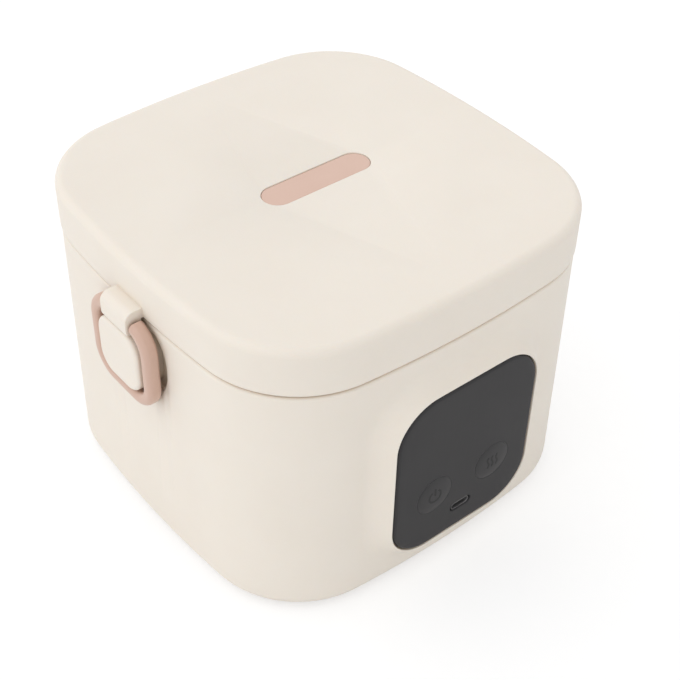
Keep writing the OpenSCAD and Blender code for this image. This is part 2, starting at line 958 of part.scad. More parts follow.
// Two leads rise from the power board, through the shield, to the heater's terminals
module heater_leads() {
    start = heater_tip_x + lead_d / 2 + 0.1;
    foot = power_board_z + board_t;
    color([0.75, 0.20, 0.16])
        in_frame()
            for (s = [-1, 1])
                translate([0, s * lead_y, 0]) {
                    translate([lead_x, 0, foot])
                        cylinder(h = heater_z - foot, d = lead_d);
                    translate([lead_x, 0, heater_z])
                        sphere(d = lead_d);
                    translate([start, 0, heater_z])
                        rotate([0, 90, 0])
                            cylinder(h = lead_x - start, d = lead_d);
                }
}

// Control panel

module control_panel() {
    roll = panel_edge_r;
    color(charcoal)
        in_frame()
            difference() {
                hull() {
                    front_slab(panel_y + roll, panel_back) panel_shape();
                    front_slab(panel_y + roll * 0.62, panel_y + roll) panel_shape(-roll * 0.08);
                    front_slab(panel_y + roll * 0.29, panel_y + roll) panel_shape(-roll * 0.29);
                    front_slab(panel_y + roll * 0.08, panel_y + roll) panel_shape(-roll * 0.62);
                    front_slab(panel_y, panel_y + roll) panel_shape(-roll);
                }
                for (s = [-1, 1]) {
                    rod_y(s * button_x, button_z, button_r + button_gap, panel_y - past, panel_back + past);
                    rod_y(s * button_x, button_z, button_r + button_lip + fit,
                        button_ledge, panel_back + past);
                }
                front_slab(panel_y - past, panel_back + past)
                    translate([0, port_z])
                        stadium(port_w, port_h);
            }
}

module panel_seal() {
    color(rubber_grey)
        in_frame()
            difference() {
                front_slab(panel_back, seat_y) panel_shape(-1);
                front_slab(panel_back - past, seat_y + past) panel_shape(-1 - panel_seal_w);
            }
}

// Domed button with a flange behind the panel and a short stem
module button(x) {
    dome_r = (button_r * button_r + button_dome * button_dome) / (2 * button_dome);
    flange_back = button_flange_y + button_flange_t;
    translate([x, 0, button_z])
        rotate([-90, 0, 0]) {
            intersection() {
                translate([0, 0, panel_y - button_dome])
                    cylinder(h = button_ledge - panel_y + button_dome + 1, r = button_r);
                translate([0, 0, panel_y - button_dome + dome_r])
                    sphere(r = dome_r, $fn = 96);
            }
            translate([0, 0, button_flange_y])
                cylinder(h = button_flange_t, r = button_r + button_lip);
            translate([0, 0, flange_back - eps])
                cylinder(h = 0.7 + eps, r = 2.2);
        }
}

module power_button() {
    color(charcoal)
        in_frame()
            button(-button_x);
}

module heat_button() {
    color(charcoal)
        in_frame()
            button(button_x);
}

module control_board() {
    color(board_green)
        in_frame()
            difference() {
                front_slab(board_y, board_y + board_t)
                    translate([0, panel_z])
                        square([board_w, board_h], center = true);
                for (sx = [-1, 1])
                    for (sz = [-1, 1])
                        rod_y(sx * board_x, panel_z + sz * board_up, board_screw_d / 2 + fit,
                            board_y - past, board_y + board_t + past);
            }
}

module board_screws() {
    color(steel)
        in_frame()
            for (sx = [-1, 1])
                for (sz = [-1, 1])
                    translate([sx * board_x, 0, panel_z + sz * board_up]) {
                        rod_y(0, 0, board_screw_d / 2, seat_y + board_post_skin + 0.4, board_y + board_t);
                        rod_y(0, 0, board_screw_head_d / 2,
                            board_y + board_t, board_y + board_t + board_screw_head_h);
                    }
}

module button_switches() {
    color(charcoal)
        in_frame()
            for (s = [-1, 1]) {
                translate([s * button_x - switch_w / 2, board_y - switch_t, button_z - switch_w / 2])
                    cube([switch_w, switch_t, switch_w]);
                rod_y(s * button_x, button_z, 1.7, switch_front, board_y - switch_t + eps);
            }
}

module port_socket() {
    color(steel)
        in_frame()
            translate([0, 0, port_z]) {
                difference() {
                    front_slab(socket_y, board_y) stadium(socket_w, socket_h);
                    front_slab(socket_y - past, board_y - 2)
                        stadium(socket_w - 2 * socket_t, socket_h - 2 * socket_t);
                }
                translate([-tongue_w / 2, tongue_y, -tongue_t / 2])
                    cube([tongue_w, board_y - 1.5 - tongue_y, tongue_t]);
            }
}

display_w = window_w * 0.7;
display_h = window_h * 0.28;
display_up = 17;

module display_module() {
    color([0.10, 0.10, 0.11])
        in_frame()
            front_slab(seat_y - panel_seal_t + fit, board_y)
                translate([0, panel_z + display_up])
                    square([display_w, display_h], center = true);
}

// Lid

lid_curve = [
    for (i = [0:edge_steps])
        let (a = 90 * i / edge_steps)
        [lid_edge_r * (1 - cos(a)), top_z - lid_edge_r * (1 - sin(a))]
];
ceiling_z = top_z - lid_top_t;
lid_rings = concat(
    [
        [shell_t + 2, ceiling_z],
        [shell_t, ceiling_z - 2],
        [shell_t, rim_z + tongue_gap],
        [tongue_in, rim_z + tongue_gap],
        [tongue_in, lid_z],
        [lid_low_edge, lid_z],
        [0, lid_z + lid_low_edge]
    ],
    lid_curve
);

// Side view of the tab: flat on top, round over its shoulder, and down in front of the ring's pivot
tab_top = lid_z + tab_up;
tab_inner = -half_w - ring_gap;
tab_curve = [
    for (i = [0:8])
        let (a = 90 * i / 8)
        [latch_x + tab_r * (1 - cos(a)), tab_top - tab_r + tab_r * sin(a)]
];

module latch_tab() {
    root = -half_w + shell_t / 2;
    front_slab(-tab_w / 2, tab_w / 2)
        polygon(concat(
            [
                [tab_inner, tab_bottom],
                [latch_x + 0.9, tab_bottom],
                [latch_x + 0.2, tab_bottom + 0.8],
                [latch_x, tab_bottom + 2]
            ],
            tab_curve,
            [[root, tab_top], [root, lid_z + eps], [tab_inner, lid_z + eps]]
        ));
}

module lid_knuckle() {
    root = half_w - shell_t / 2;
    rod_y(hinge_x, hinge_z, knuckle_r, -lid_knuckle_l / 2, lid_knuckle_l / 2);
    front_slab(-lid_knuckle_l / 2, lid_knuckle_l / 2)
        polygon([
            [root, lid_z + 0.2],
            [hinge_x, lid_z + 0.2],
            [hinge_x + knuckle_r * 0.9, hinge_z + knuckle_r * 0.5],
            [root, lid_z + gusset_h]
        ]);
}

module lid_shell() {
    color(cream)
        in_frame()
            difference() {
                union() {
                    loft(lid_rings);
                    latch_tab();
                    lid_knuckle();
                    four(lid_screw_at, lid_screw_at)
                        translate([0, 0, plate_z1])
                            cylinder(h = ceiling_z - plate_z1 + 0.5, d = boss_d);
                }
                translate([0, 0, top_z - inlay_t - inlay_sink])
                    linear_extrude(inlay_t + inlay_sink + past)
                        stadium(inlay_l + fit, inlay_w + fit);
                four(lid_screw_at, lid_screw_at)
                    translate([0, 0, plate_z0])
                        cylinder(h = 12, d = screw_d);
                rod_y(hinge_x, hinge_z, pin_d / 2 + pin_gap, -lid_knuckle_l, lid_knuckle_l);
                rod_y(bar_x, pivot_z, pivot_d / 2 + pin_gap, -tab_w, tab_w);
            }
}

module lid_plate() {
    color(steel)
        in_frame()
            difference() {
                slab(plate_in, plate_z0, plate_z1);
                difference() {
                    slab(seal_in - fit / 2, plate_z0 - past, plate_z0 + seal_groove);
                    slab(seal_in + seal_w + fit / 2, plate_z0 - 2 * past, plate_z0 + seal_groove + past);
                }
                four(lid_screw_at, lid_screw_at)
                    translate([0, 0, plate_z0]) {
                        cylinder(h = screw_head_h, d1 = screw_head_d, d2 = screw_d);
                        translate([0, 0, -past])
                            cylinder(h = lid_plate_t + 2 * past, d = screw_d);
                    }
            }
}

module lid_seal() {
    color([0.90, 0.89, 0.86])
        in_frame()
            difference() {
                slab(seal_in, seal_z, plate_z0 + seal_groove);
                slab(seal_in + seal_w, seal_z - past, plate_z0 + seal_groove + past);
            }
}

module lid_foam() {
    color([0.94, 0.93, 0.88])
        in_frame()
            difference() {
                slab(foam_in, plate_z1, ceiling_z - fit);
                four(lid_screw_at, lid_screw_at)
                    translate([0, 0, plate_z1 - past])
                        cylinder(h = lid_h, d = boss_d + 1);
            }
}

lid_screw_l = 11;

module lid_screws() {
    color(steel)
        in_frame()
            four(lid_screw_at, lid_screw_at)
                translate([0, 0, plate_z0])
                    flat_screw(lid_screw_l);
}

module lid_inlay() {
    color(pink)
        in_frame()
            translate([0, 0, top_z - inlay_t - inlay_sink])
                linear_extrude(inlay_t)
                    stadium(inlay_l, inlay_w);
}

// Hinge and latch

module hinge_pin() {
    l = lid_knuckle_l / 2 + knuckle_gap + body_knuckle_l;
    color(steel)
        in_frame()
            rod_y(hinge_x, hinge_z, pin_d / 2, -l, l);
}

strike_screw_up = 6;

// Strike outline, given thickness from x0 to x1 and grown by g
module strike_prism(x0, x1, g = 0) {
    translate([x0, 0, strike_z])
        rotate([90, 0, 90])
            linear_extrude(x1 - x0)
                round_rect(strike_w + 2 * g, strike_h + 2 * g, strike_r + g);
}

module latch_strike() {
    roll = 1.6;
    color(cream)
        in_frame()
            difference() {
                hull() {
                    strike_prism(latch_x + roll, strike_back);
                    strike_prism(latch_x + roll * 0.29, latch_x + roll, -roll * 0.29);
                    strike_prism(latch_x, latch_x + roll, -roll);
                }
                for (s = [-1, 1])
                    translate([strike_back - 6, 0, strike_z + s * strike_screw_up])
                        rotate([0, 90, 0])
                            cylinder(h = 6 + past, d = screw_d);
            }
}

module strike_screws() {
    color(steel)
        in_frame()
            for (s = [-1, 1]) {
                head_x = pan_x + 0.05;
                translate([head_x, 0, strike_z + s * strike_screw_up])
                    rotate([0, -90, 0])
                        pan_screw(head_x - strike_back + 5.5);
            }
}

// Points of the ring's middle line, in Y and Z about its centre
ring_line = [
    for (q = [0:3]) for (i = [0:8])
        let (
            sx = (q == 0 || q == 3) ? 1 : -1,
            sz = (q < 2) ? 1 : -1,
            a = 90 * q + 90 * i / 8
        )
        [
            sx * ((ring_w - bar_w) / 2 - ring_r) + ring_r * cos(a),
            sz * ((ring_h - bar_w) / 2 - ring_r) + ring_r * sin(a),
            a
        ]
];

// Bar section: rounded rectangle, across the bar and out of the wall
bar_round = 2;
bar_section = [
    for (q = [0:3]) for (i = [0:3])
        let (
            sx = (q == 0 || q == 3) ? 1 : -1,
            sy = (q < 2) ? 1 : -1,
            a = 90 * q + 30 * i
        )
        [
            sx * (bar_w / 2 - bar_round) + bar_round * cos(a),
            sy * (bar_t / 2 - bar_round) + bar_round * sin(a)
        ]
];

module ring_bar() {
    n = len(bar_section);
    m = len(ring_line);
    points = [
        for (p = ring_line) for (s = bar_section)
            [s.y, p[0] + s.x * cos(p[2]), p[1] + s.x * sin(p[2])]
    ];
    faces = [
        for (k = [0:m - 1]) for (j = [0:n - 1])
            let (
                a = k * n + j,
                b = k * n + (j + 1) % n,
                c = ((k + 1) % m) * n + (j + 1) % n,
                d = ((k + 1) % m) * n + j
            )
            each [[a, b, c], [a, c, d]]
    ];
    polyhedron(points = points, faces = faces);
}

module latch_ring() {
    slot = tab_w / 2 + tab_gap;
    color(pink)
        in_frame() {
            difference() {
                translate([bar_x, 0, ring_mid_z])
                    ring_bar();
                translate([bar_x - bar_t, -slot, pivot_z - bar_w])
                    cube([2 * bar_t, 2 * slot, 2 * bar_w]);
            }
            rod_y(bar_x, pivot_z, pivot_d / 2, -slot - 1, slot + 1);
        }
}

body_shell();
base_cover();
rubber_feet();
cover_screws();
inner_liner();
inner_pot();
food_tray();
heating_plate();
heater_tube();
temperature_sensor();
thermal_fuse();
heat_shield();
shield_screws();
cell_tray();
cells();
power_board();
power_coil();
heater_leads();
control_panel();
panel_seal();
power_button();
heat_button();
control_board();
board_screws();
button_switches();
port_socket();
display_module();
lid_shell();
lid_plate();
lid_seal();
lid_foam();
lid_screws();
lid_inlay();
hinge_pin();
latch_strike();
strike_screws();
latch_ring();
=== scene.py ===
"""Electric lunch box: what shows of it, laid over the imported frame, with its light and camera."""
import json
import math

import bmesh
import bpy
import numpy as np
from mathutils import Matrix, Vector
from mathutils.geometry import delaunay_2d_cdt


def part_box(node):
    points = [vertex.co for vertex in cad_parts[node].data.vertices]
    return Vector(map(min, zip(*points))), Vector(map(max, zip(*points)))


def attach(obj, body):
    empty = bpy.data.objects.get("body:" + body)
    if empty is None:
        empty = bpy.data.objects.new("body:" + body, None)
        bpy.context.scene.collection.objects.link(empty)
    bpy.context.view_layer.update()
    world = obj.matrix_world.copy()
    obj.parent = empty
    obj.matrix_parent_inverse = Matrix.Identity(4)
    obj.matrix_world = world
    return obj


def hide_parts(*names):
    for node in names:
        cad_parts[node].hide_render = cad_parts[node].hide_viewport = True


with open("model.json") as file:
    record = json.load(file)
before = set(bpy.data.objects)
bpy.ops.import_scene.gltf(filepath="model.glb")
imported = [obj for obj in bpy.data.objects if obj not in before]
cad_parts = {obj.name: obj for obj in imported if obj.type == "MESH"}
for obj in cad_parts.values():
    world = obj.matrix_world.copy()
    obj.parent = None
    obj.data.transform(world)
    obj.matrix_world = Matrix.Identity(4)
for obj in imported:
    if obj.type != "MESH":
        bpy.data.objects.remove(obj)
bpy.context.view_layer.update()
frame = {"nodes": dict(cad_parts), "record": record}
nodes = frame["nodes"]

# Sizes in millimetres about the box's own axis, as the frame has them
MM = 0.001
AXIS_Y = 3.05
HALF_W, HALF_D = 85.0, 85.5
CORNER_X, CORNER_Y, CORNER_R = 41.1, 41.6, 42.0
ARC_X, ARC_Y = 498.36, 487.48
WALL = 2.4
RIM_Z, RIM_ROUND, LID_Z, TOP_Z = 111.9, 1.0, 113.2, 133.0
FLANGE_Z, POT_TOP, STEP_Z = 108.7, 111.1, 103.1
BASE_Z, BASE_ROUND, COVER_TOP = 1.5, 5.5, 3.9
WALL_Z = BASE_Z + BASE_ROUND
DRAFT = 1 / 104.9
PANEL_W, PANEL_H, PANEL_R, PANEL_Z = 69.2, 77.3, 18.0, 56.8
PANEL_Y, PANEL_BACK, SEAT_Y, LEDGE_Y = 91.6, 84.9, 84.3, 87.6
FLARE_W, LIP_R, PANEL_GAP = 10.3, 0.5, 0.3
WINDOW_W, WINDOW_H, WINDOW_R = 52, 64, 5
BUTTON_X, BUTTON_Z, BUTTON_R = 14.9, 44.6, 8.5
PORT_Z, PORT_W, PORT_H = 29.9, 10.6, 4.1
HINGE_X, HINGE_Z, HINGE_HALF, KNUCKLE_HALF, KNUCKLE_R = 89.3, 112.55, 28, 14, 3.2
PIVOT_X, PIVOT_Z = -88.6, 111.5
TAB_W = 16.8
STRIKE_W, STRIKE_H, STRIKE_R, STRIKE_Z, STRIKE_BACK = 26.4, 26.4, 8.5, 94.0, 80.6
RING_W, RING_H, BAR_W, BAR_T, RING_R = 39.0, 39.1, 5.5, 6.0, 9.4
POCKET_W, POCKET_H, POCKET_R = 40.0, 31.4, 14.0
POCKET_Z = RIM_Z - RIM_ROUND - POCKET_H / 2
PLATE_Z, PLATE_TOP, GROOVE_Z = 113.6, 115.4, 114.4
PILOT_R = 1.25
COVER_SCREW, LID_SCREW, FOOT_AT, STRIKE_SCREW = 57.5, 55, 46, 6
BOARD_SCREW_X, BOARD_SCREW_Z = 30.6, 31.6


# Planes: u and v lie in the plane, h is the height over it

def level(u, v, h):
    return Vector((u, v + AXIS_Y, h)) * MM


def front(u, v, h):
    return Vector((u, AXIS_Y - h, v)) * MM


def left(u, v, h):
    return Vector((-h, AXIS_Y - u, v)) * MM


# Outlines, as (u, v) pairs that run anticlockwise

def four(u, v=None):
    """The four places at plus and minus u and v; v is u where it isn't given."""
    v = u if v is None else v
    return [(a, b) for a in (-u, u) for b in (-v, v)]


def quarter_turn(steps):
    """Angles from nought to a right angle."""
    return [math.pi / 2 / steps * i for i in range(steps + 1)]


def plan(inset, side=14, corner=20):
    """The box seen from above, moved inwards by inset."""
    turn_x = math.atan2(CORNER_Y, CORNER_X - HALF_W + ARC_X)
    turn_y = math.atan2(CORNER_X, CORNER_Y - HALF_D + ARC_Y)
    quarter = []
    for cx, cy, r, a, b, n in (
        (HALF_W - ARC_X, 0, ARC_X, 0, turn_x, side),
        (CORNER_X, CORNER_Y, CORNER_R, turn_x, math.pi / 2 - turn_y, corner),
        (0, HALF_D - ARC_Y, ARC_Y, math.pi / 2 - turn_y, math.pi / 2, side),
    ):
        for i in range(n):
            t = a + (b - a) * i / n
            quarter.append((cx + (r - inset) * math.cos(t), cy + (r - inset) * math.sin(t)))
    quarter.append((0.0, HALF_D - inset))
    back = [(-x, y) for x, y in quarter[:0:-1]]
    far = [(-x, -y) for x, y in quarter[:-1]]
    near = [(x, -y) for x, y in quarter[:0:-1]]
    return quarter[:-1] + back + far + near


def box_loop(g):
    return plan(-g)


def circle(r, n=32, u=0.0, v=0.0):
    turns = [2 * math.pi * i / n for i in range(n)]
    return [(u + r * math.cos(a), v + r * math.sin(a)) for a in turns]


def rounded(w, h, r, u=0.0, v=0.0, steps=10, along=1):
    """A rectangle with round corners; along gives the pieces in each straight side."""
    loop = []
    for q, (su, sv) in enumerate(((1, 1), (-1, 1), (-1, -1), (1, -1))):
        for i in range(steps + 1):
            a = math.pi / 2 * (q + i / steps)
            loop.append((u + su * (w / 2 - r) + r * math.cos(a), v + sv * (h / 2 - r) + r * math.sin(a)))
        nu, nv = ((-1, 1), (-1, -1), (1, -1), (1, 1))[q]
        a = math.pi / 2 * (q + 1)
        end = (u + nu * (w / 2 - r) + r * math.cos(a), v + nv * (h / 2 - r) + r * math.sin(a))
        start = loop[-1]
        for i in range(1, along):
            loop.append(tuple(start[k] + (end[k] - start[k]) * i / along for k in (0, 1)))
    return loop


def stadium(length, width, u=0.0, v=0.0, steps=20):
    """A slot with round ends, long in u."""
    r, reach = width / 2, (length - width) / 2
    turns = [math.pi * (i / steps - 0.5) for i in range(steps + 1)]
    right = [(u + reach + r * math.cos(a), v + r * math.sin(a)) for a in turns]
    return right + [(u - reach - r * math.cos(a), v - r * math.sin(a)) for a in turns]


def grow(loop, g):
    """The outline moved outwards by g."""
    if callable(loop):
        return loop(g)
    out = []
    for i, here in enumerate(loop):
        here, before, after = Vector(here), Vector(loop[i - 1]), Vector(loop[(i + 1) % len(loop)])
        a, b = (here - before).normalized(), (after - here).normalized()
        na, nb = Vector((a.y, -a.x)), Vector((b.y, -b.x))
        out.append(tuple(here + (na + nb) * (g / max(0.3, 1 + na.dot(nb)))))
    return out


def soften(corners, steps=4):
    """A profile of (growth, height, radius) corners, as (growth, height) pairs with round corners."""
    rows = []
    for k, (g, h, r) in enumerate(corners):
        here = Vector((g, h))
        if not r or k in (0, len(corners) - 1):
            rows.append((g, h))
            continue
        back, on = Vector(corners[k - 1][:2]) - here, Vector(corners[k + 1][:2]) - here
        half = back.angle(on) / 2
        reach = min(r / math.tan(half), 0.49 * back.length, 0.49 * on.length)
        back.normalize()
        on.normalize()
        centre = here + (back + on).normalized() * (reach / math.cos(half))
        a, b = here + back * reach - centre, here + on * reach - centre
        turn = a.angle(b)
        for i in range(steps + 1):
            t = i / steps
            p = centre + (a * math.sin((1 - t) * turn) + b * math.sin(t * turn)) / math.sin(turn)
            rows.append((p.x, p.y))
    return rows


def bar_ends(half, inset, r, steps=4):
    """A profile from end to end of a bar, half its length each way, with its end edges rounded."""
    return soften([(-inset, -half, 0), (0, -half, r), (0, half, r), (-inset, half, 0)], steps)


# Meshes

def fill(loops, extra=()):
    """Triangles over the area between loops, each given as (vertex numbers, (u, v) pairs)."""
    numbers = [k for ids, _ in loops for k in ids] + [k for k, _ in extra]
    flat = [Vector(p) for _, path in loops for p in path] + [Vector(p) for _, p in extra]
    edges, first = [], 0
    for _, path in loops:
        edges += [(first + i, first + (i + 1) % len(path)) for i in range(len(path))]
        first += len(path)
    points, _, triangles, source, _, _ = delaunay_2d_cdt(flat, edges, [], 0, 1e-6, True)
    where = np.array([p[:] for p in points])
    middle = where[np.array(triangles)].mean(1)
    inside = np.zeros(len(triangles), bool)
    for _, path in loops:
        a = np.array(path)
        b = np.roll(a, -1, 0)
        x, y = middle[:, :1], middle[:, 1:]
        rise = np.where(b[:, 1] == a[:, 1], 1e-12, b[:, 1] - a[:, 1])
        meets = x < (b[:, 0] - a[:, 0]) * (y - a[:, 1]) / rise + a[:, 0]
        across = ((a[:, 1] > y) != (b[:, 1] > y)) & meets
        inside ^= across.sum(1) % 2 == 1
    out = []
    for t, keep in zip(triangles, inside):
        if keep:
            p, q, r = (points[k] for k in t)
            area = (q - p).cross(r - p)
            ids = [numbers[source[k][0]] for k in t]
            out.append(ids if area > 0 else ids[::-1])
    return out


def belt_of(points, ring):
    """Adds the ring to the points, and gives its vertex numbers."""
    first = len(points)
    points += ring
    return list(range(first, len(points)))


def wrap(belts):
    """Faces from each belt to the next."""
    faces = []
    for low, high in belts:
        for i in range(len(low)):
            j = (i + 1) % len(low)
            faces.append((low[i], low[j], high[j], high[i]))
    return faces


def solid(loop, rows, plane=level, holes=(), closed=False):
    """Points and faces of a solid: the loop along its (growth, height) rows, with holes through it."""
    points, faces, ends = [], [], []
    for path, steps, inner in [(loop, rows, False)] + [(h, r, True) for h, r in holes]:
        flats = [grow(path, g) for g, _ in steps]
        belts = [belt_of(points, [plane(u, v, h) for u, v in flat]) for flat, (_, h) in zip(flats, steps)]
        quads = wrap(list(zip(belts, belts[1:])) + ([(belts[-1], belts[0])] if closed else []))
        faces += [quad[::-1] for quad in quads] if inner else quads
        ends.append((belts[0], flats[0], belts[-1], flats[-1]))
    if not closed:
        faces += [t[::-1] for t in fill([(e[0], e[1]) for e in ends])]
        faces += fill([(e[2], e[3]) for e in ends])
    return points, faces


def rod(r, n, u, v, low, high, plane=level):
    """A round bar of n sides at (u, v), from low to high over its plane."""
    return solid(circle(r, n, u, v), [(0, low), (0, high)], plane)


def put(name, data):
    """A new object in the scene."""
    piece = bpy.data.objects.new(name, data)
    bpy.context.scene.collection.objects.link(piece)
    return piece


def shell(name, *parts):
    """One object of several (points, faces) parts."""
    points, faces = [], []
    for p, f in parts:
        first = len(points)
        points += p
        faces += [[first + k for k in face] for face in f]
    mesh = bpy.data.meshes.new(name)
    mesh.from_pydata([tuple(p) for p in points], [], faces)
    bm = bmesh.new()
    bm.from_mesh(mesh)
    bmesh.ops.remove_doubles(bm, verts=bm.verts, dist=1e-7)
    bmesh.ops.dissolve_degenerate(bm, dist=1e-7, edges=bm.edges)
    bmesh.ops.recalc_face_normals(bm, faces=bm.faces)
    bm.to_mesh(mesh)
    bm.free()
    return put(name, mesh)


def settled(piece):
    """The piece's mesh with its modifiers applied, and the modifiers taken off."""
    graph = bpy.context.evaluated_depsgraph_get()
    graph.update()
    mesh = bpy.data.meshes.new_from_object(piece.evaluated_get(graph), depsgraph=graph)
    piece.modifiers.clear()
    old, piece.data = piece.data, mesh
    bpy.data.meshes.remove(old)


def carve(piece, *parts, operation="DIFFERENCE"):
    """Cuts the parts out of the piece, or joins them on."""
    tool = shell("tool", *parts)
    cut = piece.modifiers.new("cut", "BOOLEAN")
    cut.object = tool
    cut.operation = operation
    cut.solver = "EXACT"
    cut.use_self = operation == "UNION"
    settled(piece)
    bpy.data.meshes.remove(tool.data)


def join(piece, *parts):
    carve(piece, *parts, operation="UNION")


def smooth(piece):
    """Soft shading with crisp edges kept."""
    bm = bmesh.new()
    bm.from_mesh(piece.data)
    bmesh.ops.remove_doubles(bm, verts=bm.verts, dist=2e-7)
    bm.to_mesh(piece.data)
    bm.free()
    piece.data.shade_smooth()
    piece.data.set_sharp_from_angle(angle=math.radians(32))


def place(piece, body, slot, *replaced, skin=None):
    """Finishes the piece and sets it on its body, in its slot's own finish unless a skin is given."""
    smooth(piece)
    piece.data.materials.clear()
    piece.data.materials.append(skin or FINISHES[slot])
    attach(piece, body)
    if replaced:
        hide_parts(*replaced)


# Materials

def linear(*rgb):
    """A colour given as it looks on a screen, 0 to 255."""
    return tuple((c / 255 / 12.92) if c <= 10 else (((c / 255) + 0.055) / 1.055) ** 2.4 for c in rgb) + (1.0,)


class Board:
    """Places nodes in a tree and wires them up."""

    def __init__(self, tree):
        self.tree = tree
        self.count = 0

    def wire(self, value, socket):
        """Links a socket to a value, or sets it where the value is plain."""
        if isinstance(value, bpy.types.NodeSocket):
            self.tree.links.new(value, socket)
        else:
            socket.default_value = value

    def add(self, kind, values=None, **settings):
        node = self.tree.nodes.new(kind)
        node.location = (self.count % 8 * 190, -(self.count // 8) * 260)
        self.count += 1
        for key, value in settings.items():
            setattr(node, key, value)
        for key, value in (values or {}).items():
            self.wire(value, node.inputs[key])
        return node

    def group(self, tree, **values):
        return self.add("ShaderNodeGroup", values, node_tree=tree).outputs

    def math(self, operation, a, b=0.0, clamp=False):
        return self.add("ShaderNodeMath", {0: a, 1: b}, operation=operation, use_clamp=clamp).outputs[0]

    def plus(self, a, b, clamp=False):
        return self.math("ADD", a, b, clamp)

    def minus(self, a, b):
        return self.math("SUBTRACT", a, b)

    def times(self, a, b, clamp=False):
        return self.math("MULTIPLY", a, b, clamp)

    def over(self, a, b):
        return self.math("DIVIDE", a, b)

    def span(self, value, low, high, to_low=0.0, to_high=1.0):
        """The value with the range from low to high laid on another range."""
        values = {"Value": value, "From Min": low, "From Max": high, "To Min": to_low, "To Max": to_high}
        return self.add("ShaderNodeMapRange", values).outputs[0]

    def join_xyz(self, x=0.0, y=0.0, z=0.0):
        return self.add("ShaderNodeCombineXYZ", {0: x, 1: y, 2: z}).outputs[0]

    def noise(self, place, scale, detail, **more):
        values = {"Vector": place, "Scale": scale, "Detail": detail, **more}
        return self.add("ShaderNodeTexNoise", values).outputs["Fac"]

    def closeness(self, reach, low, high):
        """How near other faces are, 0 at a share low of open room and 1 at high."""
        near = self.add("ShaderNodeAmbientOcclusion", {"Distance": reach}, samples=6)
        return self.span(near.outputs["AO"], low, high)

    def blend(self, amount, a, b):
        return self.add("ShaderNodeMix", {0: amount, 6: a, 7: b}, data_type="RGBA").outputs[2]


def declare(tree, in_out, rows):
    """Named sockets on a group, each as (name, kind) or (name, kind, value)."""
    for label, kind, *value in rows:
        socket = tree.interface.new_socket(label, in_out=in_out, socket_type="NodeSocket" + kind)
        if value:
            socket.default_value = value[0]


def effect(name, inputs, outputs):
    """A new shader group: its tree, its board, what it is given and the sockets of its results."""
    tree = bpy.data.node_groups.new(name, "ShaderNodeTree")
    declare(tree, "INPUT", inputs)
    declare(tree, "OUTPUT", outputs)
    board = Board(tree)
    return tree, board, board.add("NodeGroupInput").outputs, board.add("NodeGroupOutput").inputs


def make_grain():
    """Fine spark-eroded texture of a moulding, with a faint longer waviness under it."""
    inputs = [("Place", "Vector"), ("Size", "Float"), ("Waviness", "Float", 0.3)]
    tree, b, given, result = effect("moulded_grain", inputs, [("Height", "Float")])
    fine = b.noise(given["Place"], b.over(1000.0, given["Size"]), 3.0)
    wave = b.noise(given["Place"], 60.0, 1.0)
    b.wire(b.plus(fine, b.times(wave, given["Waviness"])), result["Height"])
    return tree


def make_drift():
    """Slow change of a colour over a surface, as from flow marks and handling."""
    inputs = [
        ("Place", "Vector"), ("Colour", "Color"), ("Other", "Color"), ("Amount", "Float"), ("Scale", "Float"),
    ]
    tree, b, given, result = effect("colour_drift", inputs, [("Colour", "Color"), ("Mask", "Float")])
    cloud = b.noise(given["Place"], given["Scale"], 4.0, Roughness=0.6)
    speck = b.noise(given["Place"], b.times(given["Scale"], 40.0), 1.0)
    mask = b.span(b.plus(cloud, b.times(speck, 0.25)), 0.45, 0.85)
    share = b.times(mask, given["Amount"])
    b.wire(b.blend(share, given["Colour"], given["Other"]), result["Colour"])
    b.wire(mask, result["Mask"])
    return tree


def make_wear():
    """Where edges are rubbed: 1 on a sharp edge, 0 on a face, broken up by a fine pattern."""
    inputs = [("Place", "Vector"), ("Width", "Float", 0.0006), ("Amount", "Float")]
    tree, b, given, result = effect("rubbed_edges", inputs, [("Mask", "Float")])
    soft = b.add("ShaderNodeBevel", {"Radius": given["Width"]}, samples=4).outputs["Normal"]
    flat = b.add("ShaderNodeNewGeometry").outputs["Normal"]
    same = b.add("ShaderNodeVectorMath", {0: soft, 1: flat}, operation="DOT_PRODUCT").outputs["Value"]
    bend = b.span(same, 0.995, 0.86)
    broken = b.span(b.noise(given["Place"], 420.0, 3.0), 0.35, 0.6, 0.35, 1.0)
    b.wire(b.times(b.times(bend, broken), given["Amount"], clamp=True), result["Mask"])
    return tree


def make_marks():
    """Light wiping marks and finger bloom, as a change of roughness about 0."""
    inputs = [("Place", "Vector"), ("Amount", "Float")]
    tree, b, given, result = effect("wiping_marks", inputs, [("Change", "Float")])
    cloud = b.noise(given["Place"], 38.0, 5.0, Roughness=0.65, Distortion=0.6)
    values = {"Vector": given["Place"], "Rotation": (0.3, 0.5, 0.9), "Scale": (900.0, 60.0, 60.0)}
    lines = b.noise(b.add("ShaderNodeMapping", values).outputs[0], 1.0, 2.0)
    total = b.plus(b.times(cloud, 0.7), b.times(lines, 0.3))
    b.wire(b.times(b.minus(total, 0.5), given["Amount"]), result["Change"])
    return tree


def make_brushed():
    """Fine parallel lines of brushed or drawn metal, along the direction that Stretch leaves long."""
    inputs = [("Place", "Vector"), ("Stretch", "Vector")]
    tree, b, given, result = effect("brushed_lines", inputs, [("Lines", "Float"), ("Cloud", "Float")])
    stretch = b.add("ShaderNodeMapping", {"Vector": given["Place"], "Scale": given["Stretch"]}).outputs[0]
    b.wire(b.noise(stretch, 1.0, 4.0, Roughness=0.7), result["Lines"])
    b.wire(b.noise(given["Place"], 25.0, 3.0), result["Cloud"])
    return tree


